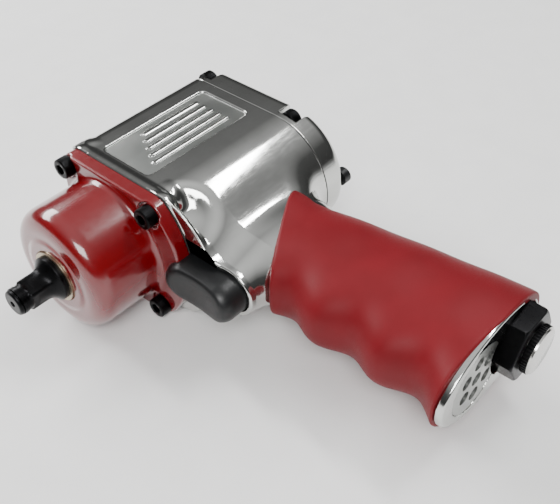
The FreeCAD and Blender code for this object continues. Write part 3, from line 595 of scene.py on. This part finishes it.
@dataclass
class MotorHousing:
    """The polished casting: motor barrel, neck, trigger shroud, handle core and end foot."""

    core_x: tuple[float, float] = (13.0, 53.0)
    core_down: tuple[float, float] = (-72.0, 64.0)
    core_rake: tuple[float, float] = (-0.2, 10.5)
    core_width: float = 14.4
    foot_width: float = 15.6
    lobe_drop: float = 21.0
    shroud_wall: float = 2.4
    neck_widen: float = 3.4
    neck_end: float = 57.5
    flange: float = 3.2
    scoop_at: tuple[float, float, float] = (1.0, -42.0, 31.0)
    scoop_half: tuple[float, float, float] = (16.0, 20.0, 14.0)
    boss: float = 4.4
    boss_end: float = 7.4
    core_top: float = -52.0
    foot_middle: float = 35.0
    foot_half: tuple[float, float] = (31.8, 18.4)
    foot_tall: float = 3.3
    hexagon_recess: float = 15.0
    trigger_gap: float = 0.3
    trigger_end: float = 13.0
    plate_middle: float = 25.0
    plate_half: tuple[float, float] = (14.75, 14.15)
    inlet_bore: float = 10.1
    inlet_top: float = -126.0
    air_middle: float = 38.0
    air_radius: float = 8.4
    air_span: tuple[float, float] = (-133.0, -40.0)
    screw_hole: float = 2.6
    front_depth: float = 5.8
    rear_depth: float = 11.0
    bore: float = 22.8
    badge_depth: float = 0.8
    badge_low: tuple[float, float] = (6.0, -11.5)
    badge_high: tuple[float, float] = (62.0, 15.5)
    rib_start: tuple[float, float] = (13.0, 2.5)
    rib_end: float = 55.0
    rib_half: float = 1.0
    rib_first: float = -6.5
    rib_pitch: float = 4.4
    rib_count: int = 5
    felt_room: float = 9.0
    step: float = 0.72

    def core(self, x: np.ndarray, y: np.ndarray, z: np.ndarray) -> np.ndarray:
        """Distance to the raked oval core under the grip.

        Args:
            x: Along the drive axis.
            y: Up from the drive axis.
            z: Side from the drive axis.

        Returns:
            Distances in millimetres.
        """
        down = np.clip((self.core_down[0] - y) / self.core_down[1], 0.0, 1.2)
        front = self.core_x[0] + self.core_rake[0] * down
        back = self.core_x[1] + self.core_rake[1] * down
        wide = self.core_width + (self.foot_width - self.core_width) * down
        half = (back - front) / 2
        ring = np.sqrt(((x - front - half) / half) ** 2 + (z / wide) ** 2)
        return (ring - 1.0) * wide

    def badge(self, x: np.ndarray, y: np.ndarray, z: np.ndarray, face: float) -> np.ndarray:
        """Distance to the recess of the side panel less its plain ribs.

        Args:
            x: Along the drive axis.
            y: Up from the drive axis.
            z: Side from the drive axis.
            face: Height of the flat side.

        Returns:
            Distances to the space to take away.
        """
        panel = rounded_rect(x, y, self.badge_low, self.badge_high, 2.5)
        recess = meet(panel, face - self.badge_depth - z, soft=0.5)
        rib = np.full_like(recess, 1e3)
        for index in range(self.rib_count):
            middle = self.rib_first + self.rib_pitch * index
            start = self.rib_start[0] + self.rib_start[1] * index
            bar = rounded_rect(x, y, (start, middle - self.rib_half),
                               (self.rib_end, middle + self.rib_half), 0.95)
            rib = np.minimum(rib, bar)
        return meet(recess, -meet(rib, z - face + 0.1, soft=0.3), soft=0.45)

    def build(self, outline: BlockOutline) -> bpy.types.Object:
        """Make the housing.

        Args:
            outline: The shared block outline.

        Returns:
            The finished piece.
        """
        low, high = axis_box("motor_housing")
        start, end = low[0], high[0]
        face = high[2]
        trigger_low, trigger_high = node_box("trigger")
        half = (trigger_high[2] - trigger_low[2]) / 2
        top, bottom = trigger_high[1] - half, trigger_low[1] + half
        plate_top = node_box("exhaust_plate")[1][1]
        washer_low, washer_high = node_box("inlet_washer")
        inlet = (washer_low[0] + washer_high[0]) / 2
        front_screws = corner_places("front_case_screws", SCREW_HEAD)
        rear_screws = corner_places("rear_cover_screws", SCREW_HEAD)

        def field(x: np.ndarray, y: np.ndarray, z: np.ndarray) -> np.ndarray:
            """Distance to the casting."""
            reach = np.hypot(y, z)
            below = np.minimum(y + self.lobe_drop, 0.0)
            barrel = meet(np.hypot(below, z) - face, y - outline.top, soft=6.0)
            barrel = meet(barrel, start - x, soft=0.5)
            places = (x, y, np.abs(z))
            scoop = np.sqrt(sum(((place - at) / half_size) ** 2 for place, at, half_size
                                in zip(places, self.scoop_at, self.scoop_half)))
            scoop = meet((scoop - 1.0) * self.scoop_half[2], self.flange - x, soft=1.0)
            barrel = meet(barrel, -scoop, soft=3.2)
            flange = meet(outline.field(y, z), between(x, start, self.flange), soft=0.8)
            away = np.hypot(y - np.clip(y, bottom, top), z)
            widen = self.neck_widen * np.clip((x - 4.0) / 14.0, 0.0, 1.0)
            neck = meet(away - half - self.shroud_wall - widen, start + 0.6 - x, soft=0.9)
            neck = meet(neck, x - self.neck_end, soft=14.0)
            bosses = np.full_like(y + z, 1e3)
            for up, over in front_screws:
                bosses = np.minimum(bosses, np.hypot(y - up, z - over) - self.boss)
            bosses = meet(bosses, between(x, start, self.boss_end), soft=2.5)
            whole = join(barrel, neck, soft=9.0)
            whole = join(whole, bosses, soft=3.5)
            whole = join(whole, flange, soft=2.0)
            core = meet(self.core(x, y, z), between(y, low[1] + 2.0, self.core_top), soft=6.0)
            whole = join(whole, core, soft=6.0)
            foot = np.sqrt(((x - self.foot_middle) / self.foot_half[0]) ** 2 + (z / self.foot_half[1]) ** 2)
            foot_slab = between(y, low[1], low[1] + self.foot_tall)
            foot = meet((foot - 1.0) * self.foot_half[1], foot_slab, soft=1.0)
            whole = join(whole, foot, soft=0.6)
            round_inlet = np.hypot(x - inlet, z)
            hexagon = meet(round_inlet - self.hexagon_recess, y - low[1] - self.foot_tall, soft=0.3)
            whole = meet(whole, -hexagon, soft=0.4)
            whole = meet(whole, x - end, soft=0.5)
            whole = meet(whole, -self.badge(x, y, z, face), soft=0.5)
            whole = meet(whole, self.bore - reach, soft=0.5)
            pocket = meet(away - half - self.trigger_gap, x - self.trigger_end, soft=0.4)
            whole = meet(whole, -pocket, soft=0.6)
            oval = np.sqrt(((x - self.plate_middle) / self.plate_half[0]) ** 2
                           + (z / self.plate_half[1]) ** 2)
            recess = meet((oval - 1.0) * 14.0, y - plate_top - self.felt_room, soft=0.3)
            whole = meet(whole, -recess, soft=0.4)
            whole = meet(whole, -meet(round_inlet - self.inlet_bore, y - self.inlet_top, soft=0.3), soft=0.3)
            chamber = np.hypot(x - self.air_middle, z) - self.air_radius
            chamber = meet(chamber, between(y, *self.air_span), soft=0.3)
            whole = meet(whole, -chamber, soft=0.3)
            ends = ((front_screws, start, self.front_depth), (rear_screws, end, self.rear_depth))
            for screws, mouth, deep in ends:
                for up, over in screws:
                    hole = np.hypot(y - up, z - over) - self.screw_hole
                    hole = meet(hole, np.abs(x - mouth) - deep, soft=0.2)
                    whole = meet(whole, -hole, soft=0.2)
            return whole

        piece = cast("motor_housing_casting", field, low, high, self.step, POLISH)
        # The second slot holds the panel floor's darker grey, painted shade in the recess.
        piece.data.materials.append(PANEL_SHADE.material())
        self.shade_panel_floor(piece, face)
        settle(piece, "tool_body", "polished_aluminium", "motor_housing")
        return piece

    def shade_panel_floor(self, piece: bpy.types.Object, face: float) -> None:
        """Give the panel's recessed floor the darker grey finish, which is painted shade.

        Args:
            piece: The housing.
            face: Height of the flat side.
        """
        mesh = piece.data
        centres = np.empty(len(mesh.polygons) * 3, dtype=np.float32)
        mesh.polygons.foreach_get("center", centres)
        centres = centres.reshape(-1, 3) / MM
        floor = AXIS_HEIGHT + face - self.badge_depth
        # Faces of the recessed panel floor, which get the painted shade.
        painted_shade_faces = np.abs(centres[:, 2] - floor) < 0.25
        painted_shade_faces &= (centres[:, 1] < self.badge_high[1]) & (centres[:, 1] > self.badge_low[1])
        mesh.polygons.foreach_set("material_index", painted_shade_faces.astype(np.int32))
        mesh.update()


@dataclass
class RearCover:
    """The polished rear cover with a notch at each screw."""

    half_width: float = 28.2
    top: float = 27.5
    lobe_drop: float = 21.0
    valve_drop: float = 26.5
    flange: float = 3.5
    edge: float = 3.0
    notch: float = 5.4
    valve_hole: float = 3.6
    drum: tuple[float, float] = (9.1, 8.5)
    bearing: tuple[float, float] = (8.0, 3.0)
    step: float = 0.6

    def build(self) -> bpy.types.Object:
        """Make the cover.

        Returns:
            The finished piece.
        """
        low, high = axis_box("rear_cover")
        start, end = low[0], high[0]
        screws = corner_places("rear_cover_screws", SCREW_HEAD)

        def field(x: np.ndarray, y: np.ndarray, z: np.ndarray) -> np.ndarray:
            """Distance to the cover."""
            below = np.minimum(y + self.lobe_drop, 0.0)
            block = meet(np.hypot(below, z) - self.half_width, y - self.top, soft=6.0)
            whole = meet(block, x - end, soft=1.6 * self.edge)
            whole = meet(whole, start - x, soft=0.4)
            for up, over in screws:
                away = np.hypot(y - up, z - over)
                pocket = meet(away - self.notch, start + self.flange - x, soft=0.6)
                whole = meet(whole, -pocket, soft=0.8)
                whole = meet(whole, SCREW_CLEARANCE - away, soft=0.2)
            valve = np.hypot(y + self.valve_drop, z)
            whole = meet(whole, self.valve_hole - valve, soft=0.3)
            drum = meet(valve - self.drum[0], x - start - self.drum[1], soft=0.3)
            whole = meet(whole, -drum, soft=0.3)
            hollow = meet(np.hypot(y, z) - self.bearing[0], x - start - self.bearing[1], soft=0.3)
            return meet(whole, -hollow, soft=0.3)

        piece = cast("rear_cover_casting", field, low, high, self.step, POLISH)
        settle(piece, "tool_body", "polished_aluminium", "rear_cover")
        return piece


@dataclass
class Grip:
    """The moulded rubber sleeve with finger grooves in front and a slanted upper edge."""

    front: float = 5.2
    groove: float = 4.4
    pitch: float = 27.3
    first_crest: float = -65.0
    back_top: float = 56.0
    back_end: float = 68.0
    wide_top: float = 17.4
    wide_end: float = 19.1
    slant_at: tuple[float, float] = (5.0, -72.0)
    slant_rise: float = 0.575
    slant_top: float = -46.3
    power: float = 2.35
    gather_wide: float = 2.2
    flare: float = 2.9
    lip: float = 3.1
    top_box: float = -44.0
    step: float = 0.66

    def build(self, housing: MotorHousing) -> bpy.types.Object:
        """Make the sleeve round the housing's core.

        Args:
            housing: The casting it is moulded over.

        Returns:
            The finished piece.
        """
        low, high = axis_box("grip_sleeve")
        end = low[1]
        low[1] -= self.lip
        high[1] = self.top_box
        face = AXIS_HEIGHT - 0.05

        def field(x: np.ndarray, y: np.ndarray, z: np.ndarray) -> np.ndarray:
            """Distance to the sleeve."""
            share = np.clip((y - self.first_crest) / (end - self.first_crest), -0.3, 1.0)
            wave = 0.5 - 0.5 * np.cos(2 * math.pi * (y - self.first_crest) / self.pitch)
            wave = wave * np.clip((y - end) / 4.0 + 0.6, 0.0, 1.0)
            flare = np.clip((end + 12.0 - y) / 12.0, 0.0, 1.0) ** 2
            front = self.front + self.groove * wave - self.flare * flare
            back = self.back_top + (self.back_end - self.back_top) * np.clip(share, 0.0, 1.0) ** 0.8
            wide = self.wide_top + (self.wide_end - self.wide_top) * share + 0.5 * wave - 0.25
            middle = 33.0 + 3.0 * share
            half = np.where(x < middle, middle - front, back - middle)
            gather = np.clip((y + 66.0) / 18.0, 0.0, 1.0) ** 2
            wide = wide + self.gather_wide * gather
            ring = np.abs((x - middle) / half) ** self.power + np.abs(z / wide) ** self.power
            ring = ring ** (1.0 / self.power)
            sleeve = (ring - 1.0) * wide
            rise = self.slant_at[1] + self.slant_rise * (x - self.slant_at[0])
            edge = (y - join(rise, np.full_like(rise, self.slant_top), soft=5.0)) * 0.88
            sleeve = meet(sleeve, edge, soft=1.6)
            floor = end - 3.0 * np.clip((x - 4.0) / 34.0, 0.0, 1.0)
            sleeve = meet(sleeve, floor - y, soft=1.0)
            inner = join(housing.core(x, y, z), np.hypot(np.minimum(y + housing.lobe_drop, 0.0), z) - face)
            return meet(sleeve, -(inner - 0.1), soft=0.3)

        piece = cast("grip_rubber", field, low, high, self.step, RUBBER)
        settle(piece, "tool_body", "red_rubber", "grip_sleeve")
        return piece


@dataclass
class Trigger:
    """The dished black trigger with soft edges."""

    dish: float = 2.2
    dish_radius: float = 44.0
    edge: float = 2.6
    rod_at: float = -50.0
    rod_pocket: tuple[float, float] = (4.2, 3.2)
    step: float = 0.4

    def build(self) -> bpy.types.Object:
        """Make the trigger.

        Returns:
            The finished piece.
        """
        low, high = axis_box("trigger")
        half = high[2]
        middle = (low[1] + high[1]) / 2

        def field(x: np.ndarray, y: np.ndarray, z: np.ndarray) -> np.ndarray:
            """Distance to the trigger."""
            away = np.hypot(y - np.clip(y, low[1] + half, high[1] - half), z) - half
            crown = low[0] - x + 0.012 * z ** 2
            body = meet(meet(away, crown, soft=2.4 * self.edge), x - high[0], soft=1.2)
            dish = np.hypot(x - (low[0] - self.dish_radius + self.dish), y - middle) - self.dish_radius
            body = meet(body, -dish, soft=1.6)
            pocket = meet(np.hypot(y - self.rod_at, z) - self.rod_pocket[0], self.rod_pocket[1] - x, soft=0.3)
            return meet(body, -pocket, soft=0.3)

        piece = cast("trigger_moulding", field, low, high, self.step, PLASTIC)
        settle(piece, "trigger_group", "dark_plastic", "trigger")
        return piece


@dataclass
class Anvil:
    """The forged anvil: ringed nose, drive square and a neck that flares to its journal."""

    square: float = 9.53
    turn_deg: float = 12.0
    nose: float = 5.3
    nose_length: float = 5.2
    root: float = 4.6
    journal: float = 9.25
    body: float = 10.6
    pilot: float = 3.0
    flare_x: tuple[float, float] = (-46.5, -38.5)
    shaft_end: float = -30.0
    body_x: tuple[float, float] = (-31.2, -6.8)
    pilot_x: float = -8.0
    groove: float = 4.45
    jaw: tuple[float, float] = (8.6, 4.6)
    jaw_x: tuple[float, float] = (-26.7, -5.0)
    dimple: tuple[float, float] = (1.2, 1.6)
    step: float = 0.38

    def build(self) -> bpy.types.Object:
        """Make the anvil.

        Returns:
            The finished piece.
        """
        low, high = axis_box("anvil")
        ring_low, ring_high = node_box("friction_ring")
        turn = math.radians(self.turn_deg)
        tip = low[0]

        def field(x: np.ndarray, y: np.ndarray, z: np.ndarray) -> np.ndarray:
            """Distance to the anvil."""
            reach = np.hypot(y, z)
            over = y * math.cos(turn) + z * math.sin(turn)
            up = z * math.cos(turn) - y * math.sin(turn)
            half = self.square / 2
            bar = rounded_rect(over, up, (-half, -half), (half, half), 0.9)
            bar = meet(bar, reach - half * 1.31, soft=0.5)
            bar = meet(bar, between(x, tip + self.nose_length, self.shaft_end), soft=1.0)
            nose = meet(reach - self.nose, between(x, tip, tip + self.nose_length + 1.0), soft=1.3)
            neck_x = np.clip((x - self.flare_x[0]) / (self.flare_x[1] - self.flare_x[0]), 0.0, 1.0)
            flare = reach - self.root - (self.journal - self.root) * neck_x ** 2.2
            flare = meet(flare, between(x, self.flare_x[0], self.shaft_end), soft=0.4)
            journal = meet(reach - self.journal, between(x, self.flare_x[1], self.shaft_end), soft=0.6)
            body = meet(reach - self.body, between(x, *self.body_x), soft=0.6)
            pilot = meet(reach - self.pilot, between(x, self.pilot_x, high[0]), soft=0.4)
            whole = join(join(bar, nose, soft=0.5), flare, soft=1.2)
            whole = join(join(join(whole, journal, soft=0.3), body, soft=0.4), pilot, soft=0.3)
            groove = meet(self.groove - reach, between(x, ring_low[0] - 0.1, ring_high[0] + 0.1), soft=0.1)
            whole = meet(whole, -groove, soft=0.2)
            ways = meet(self.jaw[0] - np.abs(y), np.abs(z) - self.jaw[1], soft=0.3)
            ways = meet(ways, between(x, *self.jaw_x), soft=0.2)
            whole = meet(whole, -ways, soft=0.3)
            dimple = meet(reach - self.dimple[0], x - tip - self.dimple[1], soft=0.2)
            return meet(whole, -dimple, soft=0.3)

        piece = cast("anvil_forging", field, low, high, self.step, OXIDE)
        settle(piece, "anvil_group", "black_oxide", "anvil")
        return piece


@dataclass
class CapScrews:
    """Four socket-head cap screws with knurled heads and hexagon sockets."""

    node: str
    facing: Facing
    head: float = SCREW_HEAD
    head_tall: float = 5.0
    shank: float = 2.5
    socket: float = 2.0
    socket_deep: float = 2.6
    knurls: int = 36
    knurl_deep: float = 0.035
    spokes: int = 144

    def build(self) -> bpy.types.Object:
        """Make the four screws as one piece.

        Returns:
            The finished piece.
        """
        low, high = node_box(self.node)
        outer = low[0] if self.facing is Facing.NOSE else high[0]
        tip = high[0] if self.facing is Facing.NOSE else low[0]
        way = self.facing.value
        seat = outer - way * self.head_tall
        floor = outer - way * self.socket_deep
        rim = 0.45
        profile = [
            (tip, 0.02), (tip, self.shank - 0.5), (tip + way * 0.5, self.shank), (seat, self.shank),
            (seat, self.head - 0.2), (seat + way * 0.2, self.head), (seat + way * 0.9, self.head),
            (outer - way * 1.1, self.head), (outer - way * rim, self.head - 0.02),
            (outer - way * 0.12, self.head - rim * 0.6), (outer, self.head - rim * 1.2),
            (outer, self.socket * 1.2), (outer - way * 0.25, self.socket), (floor, self.socket),
            (floor, 0.02),
        ]
        knurled = range(6, 8)
        hexed = range(12, 14)

        def ripple(row: np.ndarray, angle: np.ndarray) -> np.ndarray:
            """Factor on the radius: knurled rows, hexagon rows and plain ones."""
            teeth = 1.0 + self.knurl_deep * 0.5 * (np.cos(self.knurls * angle) - 1.0)
            sixth = math.pi / 3
            flat = 1.0 / np.cos((angle + sixth / 2) % sixth - sixth / 2)
            factor = np.where(np.isin(row, list(knurled)), teeth, 1.0)
            return np.where(np.isin(row, list(hexed)), flat, factor)

        points, quads = lathe(profile, ripple, self.spokes)
        if way < 0:
            quads = quads[:, ::-1]
        groups = []
        faces = []
        for index, (up, over) in enumerate(corner_places(self.node, self.head)):
            groups.append(points + np.array([0.0, up, over]))
            faces.append(quads + index * len(points))
        piece = make_object(self.node + "_steel", np.concatenate(groups), np.concatenate(faces), OXIDE)
        add_crease(piece)
        settle(piece, "tool_body", "black_oxide", self.node)
        return piece


def add_crease(piece: bpy.types.Object, degrees: float = 35.0) -> None:
    """Shade flat across edges that turn by more than an angle.

    Args:
        piece: The mesh object.
        degrees: The largest turn that stays smooth.
    """
    piece.data.set_sharp_from_angle(angle=math.radians(degrees))


@dataclass
class InletFitting:
    """The black hexagon bushing in the handle's end, chamfered at its outer face."""

    flats: float = 25.4
    chamfer: float = 13.6
    collar: float = 12.6
    collar_tall: float = 1.9
    shank: float = 9.85
    thread: float = 5.72
    mouth: tuple[float, float] = (7.2, 3.0)
    step: float = 0.5

    def build(self) -> bpy.types.Object:
        """Make the bushing.

        Returns:
            The finished piece.
        """
        low, high = axis_box("inlet_bushing")
        middle = (low[0] + high[0]) / 2
        collar = node_box("inlet_washer")[0][1]

        def field(x: np.ndarray, y: np.ndarray, z: np.ndarray) -> np.ndarray:
            """Distance to the bushing."""
            reach = np.hypot(x - middle, z)
            sixth = math.pi / 3
            angle = np.arctan2(z, x - middle) % sixth
            hexagon = reach * np.cos(angle - sixth / 2) - self.flats / 2
            outer = meet(hexagon, between(y, low[1], collar + 0.5), soft=0.6)
            outer = meet(outer, (reach - self.chamfer + (low[1] - y) * 1.2) * 0.64, soft=0.3)
            ring = meet(reach - self.collar, between(y, collar - self.collar_tall, collar), soft=0.5)
            shank = meet(reach - self.shank, between(y, collar - 1.0, high[1]), soft=0.6)
            whole = join(join(outer, ring, soft=0.3), shank, soft=0.2)
            whole = meet(whole, self.thread - reach, soft=0.5)
            mouth = meet(reach - self.mouth[0], y - low[1] - self.mouth[1], soft=0.2)
            return meet(whole, -mouth, soft=0.4)

        piece = cast("inlet_bushing_steel", field, low, high, self.step, OXIDE)
        settle(piece, "tool_body", "black_oxide", "inlet_bushing")
        return piece


@dataclass
class TransportPlug:
    """The plated plug with a knurled black rim that closes the inlet."""

    knurls: int = 48
    knurl_deep: float = 0.03
    stub: float = 6.9
    tall: float = 3.5
    spokes: int = 288

    def build(self) -> bpy.types.Object:
        """Make the plug.

        Returns:
            The finished piece.
        """
        low, high = node_box("transport_plug")
        outer, inner = low[1], high[1]
        radius = (high[0] - low[0]) / 2
        middle = (low[0] + high[0]) / 2
        back = outer + self.tall
        profile = [
            (inner, 0.02), (inner, self.stub - 0.4), (inner - 0.4, self.stub), (back, self.stub),
            (back, radius - 0.3), (back - 0.3, radius), (outer + 1.1, radius), (outer + 0.8, radius - 0.15),
            (outer + 0.75, radius - 0.5), (outer + 0.1, radius - 0.75), (outer, radius - 1.1), (outer, 0.02),
        ]

        def ripple(row: np.ndarray, angle: np.ndarray) -> np.ndarray:
            """Factor on the radius: knurled rows and plain ones."""
            teeth = 1.0 + self.knurl_deep * 0.5 * (np.cos(self.knurls * angle) - 1.0)
            return np.where(np.isin(row, (5, 6)), teeth, 1.0)

        points, quads = lathe(profile, ripple, self.spokes)
        turned = np.stack([points[:, 1] + middle, points[:, 0], points[:, 2]], axis=1)
        piece = make_object("transport_plug_knob", turned, quads, PLATE)
        piece.data.materials.append(OXIDE.material())
        rows = np.repeat(np.arange(len(profile) - 1), self.spokes)
        piece.data.polygons.foreach_set("material_index", np.isin(rows, (4, 5, 6)).astype(np.int32))
        add_crease(piece)
        settle(piece, "dust_plug", "bright_plate", "transport_plug")
        return piece


# ---------------------------------------------------------------- studio

@dataclass
class Softbox:
    """One rectangular area light aimed at a point."""

    name: str
    place: tuple[float, float, float]
    aim: tuple[float, float, float]
    wide: float
    tall: float
    watts: float

    def build(self) -> None:
        """Add the light."""
        data = bpy.data.lights.new(self.name, "AREA")
        data.shape = "RECTANGLE"
        data.size = self.wide
        data.size_y = self.tall
        data.energy = self.watts
        lamp = bpy.data.objects.new(self.name, data)
        lamp.location = self.place
        lamp.rotation_euler = (Vector(self.aim) - Vector(self.place)).to_track_quat("-Z", "Y").to_euler()
        bpy.context.scene.collection.objects.link(lamp)


@dataclass
class Studio:
    """Camera, floor, sky and softboxes."""

    camera_place: tuple[float, float, float] = (-0.1475, -0.2163, 0.2507)
    camera_right: tuple[float, float, float] = (0.6578, -0.7530, -0.0161)
    camera_ahead: tuple[float, float, float] = (0.5440, 0.4898, -0.6812)
    lens_mm: float = 53.36
    sky: float = 0.9
    sky_bands: tuple[tuple[float, float], ...] = (
        (0.499, 1.0), (0.51, 0.34), (0.56, 0.06), (0.74, 0.10), (0.84, 0.36), (0.93, 0.70))

    def build(self) -> None:
        """Set up everything that isn't part of the tool."""
        scene = bpy.context.scene
        ahead = Vector(self.camera_ahead).normalized()
        right = Vector(self.camera_right).normalized()
        up = right.cross(ahead).normalized()
        right = ahead.cross(up)
        data = bpy.data.cameras.new("camera")
        data.lens = self.lens_mm
        data.sensor_width = 36.0
        data.clip_start = 0.01
        camera = bpy.data.objects.new("camera", data)
        turn = Matrix((right, up, -ahead)).transposed().to_4x4()
        camera.matrix_world = Matrix.Translation(self.camera_place) @ turn
        scene.collection.objects.link(camera)
        scene.camera = camera
        self.floor()
        self.world(scene)
        target = (0.02, -0.03, 0.03)
        for box in (
            Softbox("key_strip", (0.52, -0.16, 0.84), target, 0.46, 0.10, 4.5),
            Softbox("camera_fill", (-0.62, -0.55, 0.90), target, 0.60, 0.50, 13.0),
            Softbox("back", (-0.02, 0.85, 0.62), target, 0.80, 0.30, 13.0),
        ):
            box.build()

    def floor(self) -> None:
        """Add the pale floor under the tool."""
        reach = 3.0
        points = [(-reach, -reach, 0.0), (reach, -reach, 0.0), (reach, reach, 0.0), (-reach, reach, 0.0)]
        mesh = bpy.data.meshes.new("floor")
        mesh.from_pydata(points, [], [(0, 1, 2, 3)])
        mesh.materials.append(FLOOR.material())
        sheet = bpy.data.objects.new("floor", mesh)
        bpy.context.scene.collection.objects.link(sheet)

    def world(self, scene: bpy.types.Scene) -> None:
        """Fill the sky with grey bands by height, bright at the floor and towards the top.

        Args:
            scene: The scene to light.
        """
        sky = bpy.data.worlds.new("sky")
        scene.world = sky
        sky.use_nodes = True
        tree = sky.node_tree
        way = add_node(tree, "ShaderNodeTexCoord").outputs["Generated"]
        parts = add_node(tree, "ShaderNodeSeparateXYZ", None, {"Vector": way})
        height = add_node(tree, "ShaderNodeMapRange", {"From Min": -1.0, "From Max": 1.0},
                          {"Value": parts.outputs["Z"]})
        ramp = add_node(tree, "ShaderNodeValToRGB", None, {"Fac": height.outputs["Result"]})
        stops = ramp.color_ramp.elements
        stops[0].position, stops[0].color = 0.0, (1.0, 1.0, 1.0, 1.0)
        stops[1].position, stops[1].color = 1.0, (1.0, 1.0, 1.0, 1.0)
        for place, grey in self.sky_bands:
            stops.new(place).color = (grey, grey, grey, 1.0)
        background = tree.nodes["Background"]
        tree.links.new(ramp.outputs["Color"], background.inputs["Color"])
        background.inputs["Strength"].default_value = self.sky


def finish_nodes() -> None:
    """Give every CAD node the finish of its material slot."""
    slots = {part["node"]: part["material_slot"] for part in frame["record"]["subparts"]}
    for name, node in frame["nodes"].items():
        finish = NODE_FINISH.get(name, SLOT_FINISH[slots[name]])
        node.data.materials.clear()
        node.data.materials.append(finish.material())


def main() -> None:
    """Build the looks in order."""
    logging.basicConfig(level=logging.INFO)
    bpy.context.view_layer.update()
    Studio().build()
    finish_nodes()
    outline = BlockOutline()
    housing = MotorHousing()
    HammerCase().build(outline)
    housing.build(outline)
    RearCover().build()
    Grip().build(housing)
    Trigger().build()
    Anvil().build()
    CapScrews("front_case_screws", Facing.NOSE).build()
    CapScrews("rear_cover_screws", Facing.BACK).build()
    InletFitting().build()
    TransportPlug().build()


if __name__ == "__main__":
    main()
